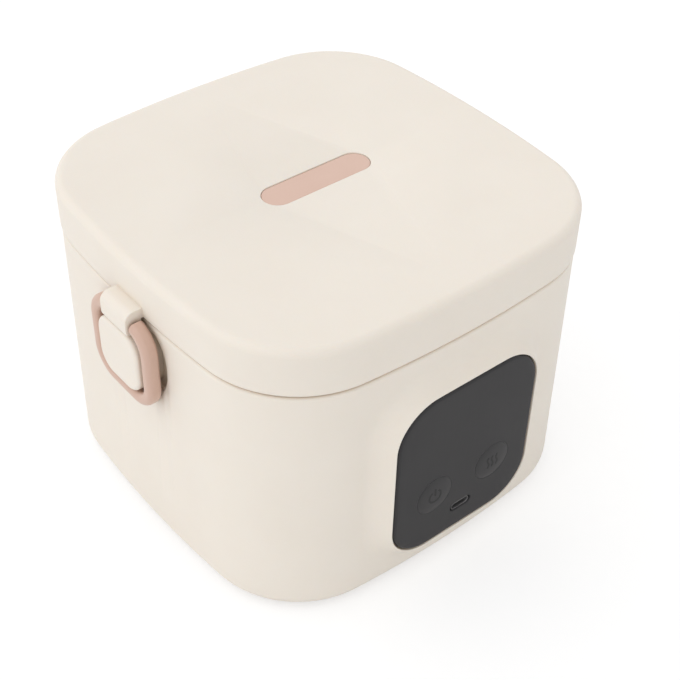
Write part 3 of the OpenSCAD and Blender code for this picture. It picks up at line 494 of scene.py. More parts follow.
def make_painted_seam_shade():
    """How shut in a spot is, from 0 in the open to 1 deep in a seam: the mask for painted shade in seams and
    crevices, tinted like dirt.
    """
    inputs = [("Reach", "Float", 0.0035), ("Amount", "Float", 0.7)]
    tree, b, given, result = effect("painted_seam_shade_and_dirt", inputs, [("Mask", "Float")])
    b.wire(b.times(b.closeness(given["Reach"], 0.75, 0.1), given["Amount"]), result["Mask"])
    return tree


def make_pocket_shade():
    """Painted shade in the latch pocket: a mask that is strongest where the ring and the strike close the
    pocket in.
    """
    inputs = [("Place", "Vector"), ("Reach", "Float", 0.006), ("Amount", "Float", 1.0)]
    tree, b, given, result = effect("pocket_shade", inputs, [("Mask", "Float")])
    x, y, z = b.add("ShaderNodeSeparateXYZ", {0: given["Place"]}).outputs
    side = b.times(b.span(x, -0.0790, -0.0805), b.span(x, -0.0846, -0.0836))
    across = b.span(b.math("ABSOLUTE", b.minus(y, AXIS_Y * MM)), 0.0215, 0.0200)
    up = b.times(b.span(z, 0.0780, 0.0800), b.span(z, 0.1112, 0.1100))
    within = b.times(b.times(side, across), up)
    shut = b.closeness(given["Reach"], 0.85, 0.35)
    b.wire(b.times(b.times(shut, within), given["Amount"]), result["Mask"])
    return tree


GRAIN, DRIFT, WEAR, MARKS = make_grain(), make_drift(), make_wear(), make_marks()
BRUSHED, PAINTED_SEAM_SHADE, POCKET_SHADE = make_brushed(), make_painted_seam_shade(), make_pocket_shade()


def bare_material(name):
    """An empty node material, with its board."""
    material = bpy.data.materials.new(name)
    material.use_nodes = True
    material.node_tree.nodes.clear()
    return material, Board(material.node_tree)


def dress(b, fixed, skin, rough, height, strength, depth):
    """The shader with its fixed values, its colour, its roughness and its fine relief."""
    bump = b.add("ShaderNodeBump", {"Height": height, "Strength": strength, "Distance": depth * MM})
    values = {**(fixed or {}), "Base Color": skin, "Roughness": rough, "Normal": bump.outputs["Normal"]}
    shader = b.add("ShaderNodeBsdfPrincipled", values)
    b.add("ShaderNodeOutputMaterial", {"Surface": shader.outputs[0]})


def finish(
    name, colour, other, rough, worn, grain=0.5, depth=0.02, wear=0.4, drift=0.5, scale=30.0,
    seam_shade_and_dirt=None, pocket=None, fixed=None,
):
    """A moulded finish: drifting colour, rubbed edges, wiping marks and grain, with painted shade in seams
    and, where given, painted shade in the latch pocket.
    """
    material, b = bare_material(name)
    spot = b.add("ShaderNodeTexCoord").outputs["Object"]
    tint = b.group(DRIFT, Place=spot, Colour=linear(*colour), Other=linear(*other), Amount=drift, Scale=scale)
    skin = b.blend(b.group(WEAR, Place=spot, Amount=wear)["Mask"], tint["Colour"], linear(*worn))
    # Painted shade: seams and crevices darken towards a dirt-tinted colour, and the latch pocket towards its
    # own shade colour.
    if seam_shade_and_dirt:
        skin = b.blend(b.group(PAINTED_SEAM_SHADE)["Mask"], skin, linear(*seam_shade_and_dirt))
    if pocket:
        skin = b.blend(b.group(POCKET_SHADE, Place=spot)["Mask"], skin, linear(*pocket))
    change = b.group(MARKS, Place=spot, Amount=0.12)["Change"]
    height = b.group(GRAIN, Place=spot, Size=grain)["Height"]
    dress(b, fixed, skin, b.plus(change, rough, clamp=True), height, 0.35, depth)
    return material


def metal(name, colour, other, rough, stretch, drift=0.5, wear=0.3):
    """A bare metal: drawn or brushed lines in its roughness and height, and a clouded tint."""
    material, b = bare_material(name)
    spot = b.add("ShaderNodeTexCoord").outputs["Object"]
    brushed = b.group(BRUSHED, Place=spot, Stretch=stretch)
    share = b.times(b.span(brushed["Cloud"], 0.35, 0.7), drift)
    tint = b.blend(share, linear(*colour), linear(*other))
    edges = b.group(WEAR, Place=spot, Amount=wear, Width=0.0003)
    skin = b.blend(edges["Mask"], tint, linear(*(min(255, c + 25) for c in colour)))
    spread = b.plus(b.times(brushed["Lines"], 0.22), b.times(brushed["Cloud"], 0.1))
    dress(b, {"Metallic": 1.0}, skin, b.plus(spread, rough - 0.16, clamp=True), brushed["Lines"], 0.25, 0.01)
    return material


CREAM = dict(
    colour=(238, 230, 219), other=(234, 225, 213), rough=0.46, worn=(243, 237, 228), grain=0.45, depth=0.022,
    # The seam colour is painted shade in seams and crevices, tinted like dirt.
    wear=0.3, seam_shade_and_dirt=(216, 195, 173),
    fixed={
        "IOR": 1.46, "Subsurface Weight": 0.08, "Subsurface Radius": (0.003, 0.002, 0.0012),
        "Subsurface Scale": 1.0,
    },
)
DARK = dict(colour=(54, 53, 54), other=(49, 48, 50), worn=(80, 78, 79))
FINISHES = {
    "cream_plastic": finish("cream_moulding", **CREAM),
    "pink_plastic": finish(
        "pink_moulding", (219, 187, 171), (211, 177, 160), 0.36, (232, 207, 195), 0.6, 0.01, 0.35,
        # The seam colour is painted shade in seams and crevices, tinted like dirt.
        seam_shade_and_dirt=(168, 134, 114), fixed={"IOR": 1.46},
    ),
    "panel_plastic": finish(
        "panel_moulding", rough=0.5, depth=0.012, wear=0.35, fixed={"Specular IOR Level": 0.23}, **DARK
    ),
    "button_plastic": finish(
        "button_moulding", rough=0.46, grain=0.4, depth=0.014, wear=0.3,
        fixed={"Specular IOR Level": 0.26}, **DARK
    ),
    "liner_plastic": finish(
        "liner_moulding", (222, 218, 211), (211, 206, 198), 0.42, (234, 231, 225), 0.5, 0.015,
        fixed={"IOR": 1.46},
    ),
    "tray_plastic": finish(
        "tray_moulding", (118, 118, 120), (104, 104, 107), 0.55, (146, 146, 148), 0.7, 0.03
    ),
    "switch_plastic": finish("switch_moulding", (38, 38, 40), (52, 51, 53), 0.5, (80, 80, 82), 0.4, 0.02),
    "display_dark": finish(
        "display_face", (26, 28, 32), (34, 36, 41), 0.16, (52, 55, 60), 1.2, 0.003,
        fixed={"Coat Weight": 0.6, "Coat Roughness": 0.08},
    ),
    "foot_rubber": finish(
        "foot_rubber", (82, 81, 82), (66, 65, 67), 0.78, (112, 110, 110), 0.8, 0.05, 0.6, 0.7
    ),
    "silicone": finish(
        "lip_silicone", (232, 230, 224), (222, 219, 212), 0.38, (241, 240, 236), 0.9, 0.01, 0.2,
        fixed={
            "IOR": 1.41, "Subsurface Weight": 0.3, "Subsurface Radius": (0.004, 0.0035, 0.003),
            "Subsurface Scale": 1.0,
        },
    ),
    "lead_rubber": finish("lead_sleeve", (176, 62, 52), (148, 48, 42), 0.55, (198, 96, 84), 0.5, 0.03),
    "foam": finish(
        "foam_block", (240, 236, 224), (226, 220, 205), 0.95, (246, 243, 234), 1.6, 0.4, drift=0.7, scale=90.0
    ),
    "stainless": metal("satin_stainless", (206, 205, 202), (188, 187, 186), 0.3, (60.0, 60.0, 3800.0)),
    "screw_steel": metal(
        "zinc_screw", (196, 199, 202), (170, 172, 176), 0.32, (1500.0, 1500.0, 1500.0), wear=0.6
    ),
    "plate_aluminium": metal(
        "pressed_aluminium", (208, 210, 212), (190, 191, 194), 0.38, (2600.0, 90.0, 90.0)
    ),
    "heater_metal": metal(
        "heater_sheath", (128, 112, 100), (96, 88, 96), 0.42, (160.0, 160.0, 900.0), drift=0.9
    ),
    "fuse_ceramic": finish(
        "fuse_glaze", (228, 222, 206), (206, 198, 178), 0.22, (240, 236, 226), 1.0, 0.006,
        fixed={"Coat Weight": 0.5, "Coat Roughness": 0.1},
    ),
    "board_laminate": finish(
        "board_mask", (34, 104, 66), (24, 78, 50), 0.34, (176, 160, 96), 0.9, 0.02, 0.7, 0.7, 220.0,
        fixed={"Coat Weight": 0.4, "Coat Roughness": 0.15},
    ),
    "coil_ferrite": finish(
        "coil_ferrite", (62, 60, 60), (88, 82, 76), 0.6, (120, 114, 108), 0.9, 0.06, 0.6
    ),
    "cell_sleeve": finish(
        "cell_sleeve", (58, 112, 168), (46, 92, 146), 0.3, (120, 156, 196), 1.4, 0.012,
        fixed={"Coat Weight": 0.4, "Coat Roughness": 0.12},
    ),
}
# The body's copy of the cream finish: the same colour, with painted shade in the latch pocket.
cream_body = finish("cream_body_moulding", pocket=(220, 203, 182), **CREAM)
ring_pink = finish(
    "ring_moulding", (209, 176, 159), (200, 166, 149), 0.38, (226, 200, 187), 0.6, 0.01, 0.35,
    # The seam colour is painted shade in seams and crevices, tinted like dirt.
    seam_shade_and_dirt=(160, 126, 106), fixed={"IOR": 1.46, "Coat Weight": 0.2, "Coat Roughness": 0.3},
)
# The marks are coloured darker than the caps as painted shade, standing in for the shade in engraved lines.
icon_dark = finish(
    "button_mark", (25, 24, 26), (21, 20, 22), 0.42, (44, 43, 45), 0.3, 0.01, 0.2,
    fixed={"Specular IOR Level": 0.24},
)
socket_steel = metal("socket_steel", (150, 149, 150), (122, 121, 123), 0.36, (90.0, 1800.0, 90.0))

for part in frame["record"]["subparts"]:
    skin = nodes[part["node"]].data.materials
    skin.clear()
    skin.append(FINISHES[part["material_slot"]])


# Body

def side_in(z):
    """How far the leaning side wall stands in at height z."""
    return -0.6 + max(0.0, z - WALL_Z) * DRAFT


def front_wall(x, z):
    """How far the front wall stands out at x and z."""
    inset = side_in(z)
    turn = math.atan2(CORNER_X, CORNER_Y - HALF_D + ARC_Y)
    if abs(x) <= CORNER_X + (CORNER_R - inset) * math.sin(turn):
        return HALF_D - ARC_Y + math.sqrt((ARC_Y - inset) ** 2 - x * x)
    return CORNER_Y + math.sqrt(max(0.0, (CORNER_R - inset) ** 2 - (abs(x) - CORNER_X) ** 2))


def panel_loop(g, along=14):
    return rounded(PANEL_W + 2 * g, PANEL_H + 2 * g, PANEL_R + g, v=PANEL_Z, steps=16, along=along)


def window_loop(g):
    return rounded(WINDOW_W + 2 * g, WINDOW_H + 2 * g, WINDOW_R + g, v=PANEL_Z)


def latch_pocket(g, top=None):
    """Outline of the pocket behind the ring, cut off flat at a height where one is given."""
    loop = rounded(POCKET_W + 2 * g, POCKET_H + 2 * g, POCKET_R + g, v=POCKET_Z, steps=14)
    if top is None:
        return loop
    return [(u, min(v, top)) for u, v in loop]


def deep_pocket(g):
    return latch_pocket(g, FLANGE_Z - 1.4 + g)


def strike_loop(g=0.0):
    return rounded(STRIKE_W + 2 * g, STRIKE_H + 2 * g, STRIKE_R + g, v=STRIKE_Z, steps=14)


def strike_pilots(low, high):
    return [rod(PILOT_R, 16, 0, STRIKE_Z + z, low, high, left) for z in (-STRIKE_SCREW, STRIKE_SCREW)]


def flared_front(low_z, high_z, half):
    """The front wall between two heights: it flares out softly to the pocket that holds the panel."""
    lip_h = PANEL_Y - 0.2
    ring = plan(0)
    chosen = [k for k, (x, y) in enumerate(ring) if y < 0 and abs(x) < half]
    chosen.sort(key=lambda k: ring[k][0])
    low, high = plan(side_in(low_z)), plan(side_in(high_z))
    border = [(low[k], low_z) for k in chosen] + [(high[k], high_z) for k in reversed(chosen)]
    points = [level(x, y, z) for (x, y), z in border]
    around = (list(range(len(points))), [(x, z) for (x, y), z in border])
    growths = [FLARE_W * (1 - i / 15) ** 1.15 + PANEL_GAP + LIP_R for i in range(16)]
    belts = []

    def belt(loop, height):
        belts.append(belt_of(points, [front(u, v, height(u, v)) for u, v in loop]))

    for g in growths:
        share = (1 - (g - PANEL_GAP - LIP_R) / FLARE_W) ** 2.6
        belt(panel_loop(g), lambda u, v: front_wall(u, v) * (1 - share) + lip_h * share)
    for a in quarter_turn(4)[1:]:
        lip = PANEL_GAP + LIP_R * (1 - math.sin(a))
        belt(panel_loop(lip), lambda u, v: lip_h - LIP_R * (1 - math.cos(a)))
    belt(panel_loop(PANEL_GAP), lambda u, v: SEAT_Y)
    faces = wrap(zip(belts, belts[1:]))
    opening = window_loop(0)
    seat = belts[-1]
    belt(opening, lambda u, v: SEAT_Y)
    faces += fill([(seat, panel_loop(PANEL_GAP)), (belts[-1], opening)])
    extra, edge = [], FLARE_W + 2.5
    for step in range(1, 12):
        z = low_z + (high_z - low_z) * step / 12
        for k in chosen[1:-1]:
            x = low[k][0] + (high[k][0] - low[k][0]) * step / 12
            du = max(abs(x) - PANEL_W / 2 + PANEL_R, 0)
            dv = max(abs(z - PANEL_Z) - PANEL_H / 2 + PANEL_R, 0)
            if math.hypot(du, dv) - PANEL_R > edge or abs(x) > PANEL_W / 2 + edge:
                extra.append((len(points), (x, z)))
                points.append(front(x, z, front_wall(x, z)))
    faces += fill([around, (belts[0], panel_loop(growths[0]))], extra)
    return points, faces


def open_front(piece, low, high, half):
    """Takes the plain front wall and the plug in the panel's window off the body."""
    bm = bmesh.new()
    bm.from_mesh(piece.data)
    gone = []
    for face in bm.faces:
        spots = [v.co / MM for v in face.verts]
        middle = sum(spots, Vector()) / len(spots)
        outer = AXIS_Y - middle.y > front_wall(middle.x, middle.z) - 1.0
        skin = outer and low < middle.z < high and middle.y < -50 and max(abs(p.x) for p in spots) < half
        plug = max(abs(AXIS_Y - p.y - SEAT_Y) for p in spots) < 1e-3 and abs(middle.x) < 27
        if skin or plug:
            gone.append(face)
    bmesh.ops.delete(bm, geom=gone, context="FACES")
    bm.to_mesh(piece.data)
    bm.free()


def body_moulding():
    rim = 1.4
    top = RIM_Z - rim
    low, high, half = WALL_Z, 108.5, 54.5
    rows = [
        (0.6 - BASE_ROUND * (1 - math.sin(a)), BASE_Z + BASE_ROUND * (1 - math.cos(a)))
        for a in quarter_turn(10)
    ]
    rows += [(-side_in(z), z) for z in (high, top)]
    rows += [(-0.4 - rim * (1 - math.cos(a)), top + rim * math.sin(a)) for a in quarter_turn(8)[1:]]
    rows += soften([
        (-1.8, RIM_Z, 0), (-2.8, RIM_Z, 0.25), (-2.8, FLANGE_Z, 0.3), (-5.8, FLANGE_Z, 0.4),
        (-5.8, FLANGE_Z - WALL, 0.6), (-side_in(103.3) - WALL, 103.3, 2), (-1.8, 6.3, 1), (-22, 6.3, 0.3),
        (-22, COVER_TOP, 0.3), (-8, COVER_TOP, 0.3), (-8, BASE_Z, 0.25), (-4.95, BASE_Z, 0),
    ])[1:]
    piece = shell("body_moulding", solid(box_loop, rows, closed=True))
    post = soften([(0, 3.2, 0), (0, 18.3, 0.4), (-3, 18.3, 0)])
    screw_posts = four(COVER_SCREW)
    board_posts = four(BOARD_SCREW_X, BOARD_SCREW_Z)
    added = [solid(circle(4, 28, x, y), post) for x, y in screw_posts]
    added += [rod(2.8, 24, x, PANEL_Z + z, 80.1, 83.7, front) for x, z in board_posts]
    added.append(solid(latch_pocket(1.5, FLANGE_Z), [(0, 79.8), (0, 83.4)], left))
    arm = [(83.4, 99.7), (86.2, 103.6), (HINGE_X + 2.88, 110.63), (HINGE_X, 112.15), (83.4, 110.9)]
    knuckles = []
    for side in (-1, 1):
        a, b = sorted((side * (KNUCKLE_HALF + 0.4), side * HINGE_HALF))
        ends = soften([(-0.41, -b, 0), (0, -b, 0.4), (0, -a, 0.3), (-0.31, -a, 0)])
        added.append(solid(arm, ends, front))
        knuckles.append(solid(circle(KNUCKLE_R, 40, HINGE_X, HINGE_Z), ends, front))
    join(piece, *added)
    join(piece, *knuckles)
    soft_edge = [
        (-0.5, 83.5), (-0.4, 83.62), (-0.15, 83.8), (0.15, 84.0), (0.5, 84.2), (0.95, 84.42), (1.5, 84.75),
        (2.4, 86.0),
    ]
    cuts = [rod(PILOT_R, 16, x, y, 0, 17) for x, y in screw_posts]
    cuts.append(solid(window_loop, [(0, 78), (0, SEAT_Y)], front))
    cuts.append(solid(latch_pocket(0), soft_edge, left))
    cuts.append(rod(1.5, 24, HINGE_X, HINGE_Z, -40, 40, front))
    carve(piece, *cuts)
    carve(piece, solid(deep_pocket, soften([(-3.6, 81.2, 0), (0, 81.2, 2.4), (0, 83.8, 0)], 6), left))
    carve(piece, solid(strike_loop(0.1), [(0, STRIKE_BACK), (0, 82)], left))
    carve(piece, *strike_pilots(78, 84))
    open_front(piece, low, high, half)
    points = [v.co.copy() for v in piece.data.vertices]
    faces = [list(f.vertices) for f in piece.data.polygons]
    bpy.data.meshes.remove(piece.data)
    piece = shell("body_moulding", (points, faces), flared_front(low, high, half))
    place(piece, "base", "cream_plastic", "body_shell", skin=cream_body)


# Lid

def lid_moulding():
    edge = 3.4
    rows = soften([
        (-6.4, 130.4, 0), (-WALL, 130.4, 2.0), (-WALL, RIM_Z + 0.3, 0.2), (-1.3, RIM_Z + 0.3, 0.2),
        (-1.3, LID_Z, 0.25), (0, LID_Z, 0.75), (0, 116, 0),
    ])
    rows += [(-edge * (1 - math.cos(a)), TOP_Z - edge * (1 - math.sin(a))) for a in quarter_turn(14)]
    rows += [(-4.2, TOP_Z), (-9.0, TOP_Z)]
    piece = shell("lid_moulding", solid(box_loop, rows))
    tab = [
        (-85.6, 107.7), (-91.4, 107.7), (-92.0, 107.95), (-92.35, 108.5), (-92.5, 109.6), (-92.5, 111.6),
        *[(-88.5 - 4 * math.cos(a), 113.8 + 4 * math.sin(a)) for a in quarter_turn(12)],
        (-83.8, 117.8), (-83.8, 113.21), (-85.6, 113.21),
    ][::-1]
    join(piece, solid(tab, bar_ends(TAB_W / 2, 0.62, 0.6, 5), front))
    gusset = [(83.8, 113.4), (HINGE_X, 113.4), (HINGE_X + 2.88, 114.2), (87.9, 117.4), (83.8, 122.2)]
    join(piece, solid(gusset, bar_ends(KNUCKLE_HALF, 0.41, 0.4), front))
    join(piece, solid(circle(KNUCKLE_R, 40, HINGE_X, HINGE_Z), bar_ends(KNUCKLE_HALF, 1, 0.3), front))
    bosses = four(LID_SCREW)
    join(piece, *[rod(4, 28, x, y, PLATE_TOP, 130.9) for x, y in bosses])
    cuts = [rod(PILOT_R, 16, x, y, 112, 125.6) for x, y in bosses]
    cuts.append(rod(1.65, 24, HINGE_X, HINGE_Z, -20, 20, front))
    cuts.append(rod(PILOT_R, 20, PIVOT_X, PIVOT_Z, -12, 12, front))
    recess = [(0, 131.8), (0, 132.75), (0.1, 132.95), (0.3, 133.05), (0.3, 134)]
    cuts.append(solid(stadium(49.7, 13.0, steps=32), recess))
    carve(piece, *cuts)
    place(piece, "lid", "cream_plastic", "lid_shell")


def lid_band():
    rows = soften([(-1, 131.8, 0), (0, 131.8, 0.15), (0, 132.7, 0.4), (-1.2, 132.7, 0), (-3.0, 132.68, 0)], 5)
    piece = shell("lid_band", solid(stadium(49.5, 12.8, steps=32), rows))
    place(piece, "lid", "pink_plastic", "lid_inlay")


# Latch

def carry_ring():
    """The swinging ring: a rounded bar bent round, open where the tab passes, on its pivot rod."""
    slot = TAB_W / 2 + 0.35
    top = PIVOT_Z
    centre = top + BAR_W / 2 - RING_H / 2
    path = rounded(RING_W - BAR_W, RING_H - BAR_W, RING_R, v=centre, steps=16, along=6)
    line = [p for p in path if not (abs(p[0]) < slot and p[1] > centre)]
    start = next(
        i for i, p in enumerate(line) if p[0] < 0 and p[1] > centre and abs(line[i - 1][0] - p[0]) > 10
    )
    line = [(-slot, top)] + line[start:] + line[:start] + [(slot, top)]
    section = rounded(BAR_W, BAR_T, 2.2, steps=7)
    points, belts = [], []
    for k, (y, z) in enumerate(line):
        a, b = line[max(0, k - 1)], line[min(len(line) - 1, k + 1)]
        along = Vector((b[0] - a[0], b[1] - a[1])).normalized()
        out = Vector((along.y, -along.x))
        rims = [(0.0, 0.0)]
        if k in (0, len(line) - 1):
            sign = 1 if k == 0 else -1
            turns = (0, 0.5, 1.0, math.pi / 2)
            rims = [(-0.45 * (1 - math.sin(t)), sign * 0.45 * (1 - math.cos(t))) for t in turns][::sign]
        for g, shift in rims:
            ring = []
            for across, depth in grow(section, g):
                spot = Vector((y, z)) + out * across + along * shift
                ring.append(Vector((PIVOT_X + depth, spot.x + AXIS_Y, spot.y)) * MM)
            belts.append(belt_of(points, ring))
    faces = wrap(zip(belts, belts[1:])) + [belts[0], belts[-1]]
    piece = shell("carry_ring", (points, faces))
    join(piece, rod(1.0, 24, PIVOT_X, PIVOT_Z, -slot - 1.5, slot + 1.5, front))
    place(piece, "latch_ring", "pink_plastic", "latch_ring", skin=ring_pink)


def strike_block():
    rows = [(0, STRIKE_BACK), (0, 90.9)]
    rows += [(-1.6 * (1 - math.cos(a)), 90.9 + 1.5 * math.sin(a)) for a in quarter_turn(8)[1:8]]
    rows += [(-2.0, 92.43), (-3.2, 92.47), (-5.5, 92.5)]
    piece = shell("strike_block", solid(strike_loop(), rows, left))
    carve(piece, *strike_pilots(79, 86.6))
    place(piece, "base", "cream_plastic", "latch_strike", skin=cream_body)


# Control panel

def front_panel():
    edge = soften([(-0.3, PANEL_BACK, 0), (0, PANEL_BACK, 0.3), (0, PANEL_Y, 1.6), (-4, PANEL_Y, 0)], 8)
    well = [
        (1.1, PANEL_BACK), (1.1, LEDGE_Y), (0, LEDGE_Y), (0, PANEL_Y - 0.12), (0.03, PANEL_Y - 0.04),
        (0.1, PANEL_Y), (0.6, PANEL_Y),
    ]
    mouth = [
        (-0.25, PANEL_BACK), (-0.25, 88.6), (0, 88.6), (0, PANEL_Y - 0.3), (0.1, PANEL_Y - 0.1),
        (0.3, PANEL_Y), (0.7, PANEL_Y),
    ]
    holes = [(circle(BUTTON_R + 0.12, 64, x, BUTTON_Z), well) for x in (-BUTTON_X, BUTTON_X)]
    holes.append((stadium(PORT_W, PORT_H, 0, PORT_Z), mouth))
    piece = shell("front_panel", solid(panel_loop, edge, front, holes))
    place(piece, "base", "panel_plastic", "control_panel")


def dome(r):
    """Height of a button's face, r from its middle."""
    return PANEL_Y + 0.58 * (1 - (r / 8.6) ** 4)


def on_dome(x):
    """Lays a flat mark on the button's face at x: its height is counted from the face."""
    return lambda u, v, h: front(x + u, BUTTON_Z + v, dome(min(8.2, math.hypot(u, v))) + h)


def stroke(points, plane, width=0.9, height=0.05):
    """A raised line of even width with round ends, along points in the plane."""
    line = [Vector(p) for p in points]
    right, leftward = [], []
    for k, p in enumerate(line):
        along = (line[min(k + 1, len(line) - 1)] - line[max(k - 1, 0)]).normalized()
        side = Vector((along.y, -along.x)) * (width / 2)
        if k == 0:
            cap = [p + Matrix.Rotation(math.pi * i / 6, 2) @ (-side) for i in range(1, 6)]
        right.append(p + side)
        leftward.append(p - side)
    far = [line[-1] + Matrix.Rotation(math.pi * i / 6, 2) @ side for i in range(1, 6)]
    loop = [tuple(p) for p in right + far + leftward[::-1] + cap]
    return solid(loop, [(0, -height), (0, height * 0.4), (-0.03, height)], plane)


def push_button(name, x, marks, body, node):
    skirt = [(9.5, LEDGE_Y - 1.6), (9.5, LEDGE_Y - 0.2), (8.58, LEDGE_Y - 0.2)]
    skirt += [(8.58, dome(8.5) - 0.12), (8.55, dome(8.5) - 0.03)]
    face = [(r, dome(r)) for r in (8.38, 8.1, 7.7, 7.3, 6.8, 6.2, 5.5, 4.5, 3.4, 2.2, 1.0, 0.3)]
    rows = [(r - BUTTON_R, h) for r, h in skirt + face]
    cap = shell(name, solid(circle(BUTTON_R, 64, x, BUTTON_Z), rows, front))
    place(cap, body, "button_plastic", node)
    mark = shell(name + "_mark", *[stroke(line, on_dome(x)) for line in marks])
    place(mark, body, "button_plastic", skin=icon_dark)


def port_shell():
    """The charging socket in its recess: a drawn steel shell and the tongue inside it."""
    low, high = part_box("port_socket")
    deep, mouth = AXIS_Y - high.y / MM, AXIS_Y - low.y / MM
    inside = (stadium(8.4, 2.7, 0, PORT_Z), [(0, deep), (0, mouth - 0.15), (0.05, mouth)])
    rows = [(0, deep), (0, mouth - 0.1), (-0.05, mouth)]
    piece = shell("port_shell", solid(stadium(9, 3.3, 0, PORT_Z), rows, front, [inside]))
    place(piece, "base", "stainless", "port_socket", skin=socket_steel)
    low, high = deep + 0.2, mouth - 1.0
    rows = soften([(-0.1, low, 0), (0, low, 0.1), (0, high, 0.12), (-0.12, high, 0)])
    tongue = solid(rounded(6.6, 0.7, 0.2, 0, PORT_Z, 4), rows, front)
    back = solid(stadium(8.36, 2.66, 0, PORT_Z), [(0, deep + 0.3), (0, deep + 1.2)], front)
    place(shell("port_tongue", tongue, back), "base", "switch_plastic")


# Inside

def floor_curve(inset, z, r):
    """Rows of a wall that turns into a floor at height z, from the floor outwards and up."""
    return [(-(inset + r * (1 - math.sin(a))), z + r * (1 - math.cos(a))) for a in quarter_turn(8)]


def inner_pot():
    outer = floor_curve(15, 46, 8) + soften([
        (-15, 60, 0), (-15, STEP_Z - 2, 1.2), (-13, STEP_Z, 1.2), (-13, POT_TOP - 0.8, 0.6),
        (-7, POT_TOP - 0.8, 0.3), (-7, POT_TOP, 0.35), (-13.8, POT_TOP, 1.2), (-13.8, STEP_Z + 0.8, 1.4),
        (-15.8, STEP_Z - 1.2, 1.2), (-15.8, 60, 0),
    ])
    piece = shell("inner_pot", solid(box_loop, outer + floor_curve(15.8, 46.8, 7.2)[::-1]))
    place(piece, "base", "stainless", "inner_pot")


def base_plate():
    low, high = BASE_Z, COVER_TOP
    sunk = [(1.6, low), (1.45, low + 0.15), (1.45, high - 1), (0, high - 1), (0, high)]
    holes = [(circle(1.55, 24, x, y), sunk) for x, y in four(COVER_SCREW)]
    for y in (-50.6, 50.6):
        for i in range(-3, 4):
            holes.append((rounded(2.4, 16, 1.19, 7 * i, y, 8), [(0.2, low), (0, low + 0.2), (0, high)]))
    rows = soften([(-0.5, low, 0), (0, low, 0.3), (0, high, 0.2), (-0.5, high, 0)], 3)
    piece = shell("base_plate", solid(lambda g: plan(8.2 - g), rows, holes=holes))
    carve(piece, *[rod(8, 40, x, y, 0, 2.5) for x, y in four(FOOT_AT)])
    place(piece, "base", "cream_plastic", "base_cover")


def shield_spots():
    """Where the heat shield's three screws go."""
    turns = [math.radians(30 + 120 * i) for i in range(3)]
    return [(64.4 * math.cos(a), 64.4 * math.sin(a)) for a in turns]


def inner_wall():
    """The liner that the pot stands in: wall, flange under the pot's rim, and floor with its holes."""
    low, high, flange = 43, 44.6, FLANGE_Z + 1.6
    rows = soften([
        (-16, low, 0), (-10, low, 1.2), (-10, FLANGE_Z, 0.8), (-3.05, FLANGE_Z, 0.2), (-3.05, flange, 0.3),
        (-11.6, flange, 0.8), (-11.6, high, 1.6), (-16, high, 0),
    ])
    loops = [circle(51, 96)] + [circle(1.45, 20, x, y) for x, y in shield_spots()]
    holes = [(loop, [(0, low), (0, high)]) for loop in loops]
    piece = shell("inner_wall", solid(box_loop, rows, holes=holes))
    place(piece, "base", "liner_plastic", "inner_liner")


def tray_loop(g):
    """The tray's outline: the pot's on the left, cut off straight on the right with round corners."""
    kept = [k for k, (x, y) in enumerate(plan(14.2)) if x < -31]
    ring = plan(14.2 - g)
    right, half, r = -4 + g, 70.35 + g, max(4, 12 + 0.36 * g)
    near = [(right - r + r * math.sin(a), -(half - r) - r * math.cos(a)) for a in quarter_turn(10)]
    far = [(right - r + r * math.cos(a), half - r + r * math.sin(a)) for a in quarter_turn(10)]
    return [ring[k] for k in kept] + near + far


def loose_tray():
    floor, rim = STEP_Z - 23.2, STEP_Z + 0.8
    rows = soften([
        (-16, floor, 0), (-5.5, floor, 5), (-5.5, rim, 0.8), (0, rim, 0.2), (0, STEP_Z + 1.6, 0.35),
        (-6.3, STEP_Z + 1.6, 1.4), (-6.3, STEP_Z - 22.4, 4.2), (-16, STEP_Z - 22.4, 0),
    ], 7)
    place(shell("loose_tray", solid(tray_loop, rows)), "base", "stainless", "food_tray")


def lid_pan():
    """The plate that closes the lid from below, with the seal's groove and a pressed middle."""
    low, high, field = PLATE_Z, PLATE_TOP, PLATE_Z + 0.5
    rows = soften([
        (-33, field, 0), (-29, field, 0.9), (-27.6, low, 0.9), (-12.6, low, 0.2), (-12.6, GROOVE_Z, 0.2),
        (-7.4, GROOVE_Z, 0.2), (-7.4, low, 0.25), (-2.8, low, 0.4), (-2.8, high, 0.3), (-33, high, 0),
    ])
    piece = shell("lid_pan", solid(box_loop, rows))
    sink = [(1.35, 112), (1.35, 113.62), (0, 115.02), (0, 116)]
    carve(piece, *[solid(circle(1.5, 28, x, y), sink) for x, y in four(LID_SCREW)])
    place(piece, "lid", "stainless", "lid_plate")


def lip_seal():
    """The lid's seal: a base in the groove and two soft lips that meet the pot's rim."""
    low = POT_TOP + 0.3
    rows = soften([
        (-12.5, GROOVE_Z, 0), (-12.5, low + 1.5, 0.3), (-12.1, low, 0.4), (-11.0, low, 0.4),
        (-10.5, low + 1.1, 0.3), (-9.5, low + 1.1, 0.3), (-9.0, low, 0.4), (-7.9, low, 0.4),
        (-7.5, low + 1.5, 0.3), (-7.5, GROOVE_Z, 0),
    ])
    place(shell("lip_seal", solid(box_loop, rows, closed=True)), "lid", "silicone", "lid_seal")


def pivot_pin():
    pin = solid(circle(1.5, 40, HINGE_X, HINGE_Z), bar_ends(HINGE_HALF, 0.6, 0.45), front)
    place(shell("pivot_pin", pin), "base", "screw_steel", "hinge_pin")


# Screws and feet: Geometry Nodes trees that set one piece on every given point

def node_tree(name, sizes):
    tree = bpy.data.node_groups.new(name, "GeometryNodeTree")
    declare(tree, "INPUT", [("Places", "Geometry"), *sizes])
    declare(tree, "OUTPUT", [("Geometry", "Geometry")])
    b = Board(tree)
    return tree, b, b.add("NodeGroupInput").outputs, b.add("NodeGroupOutput").inputs[0]


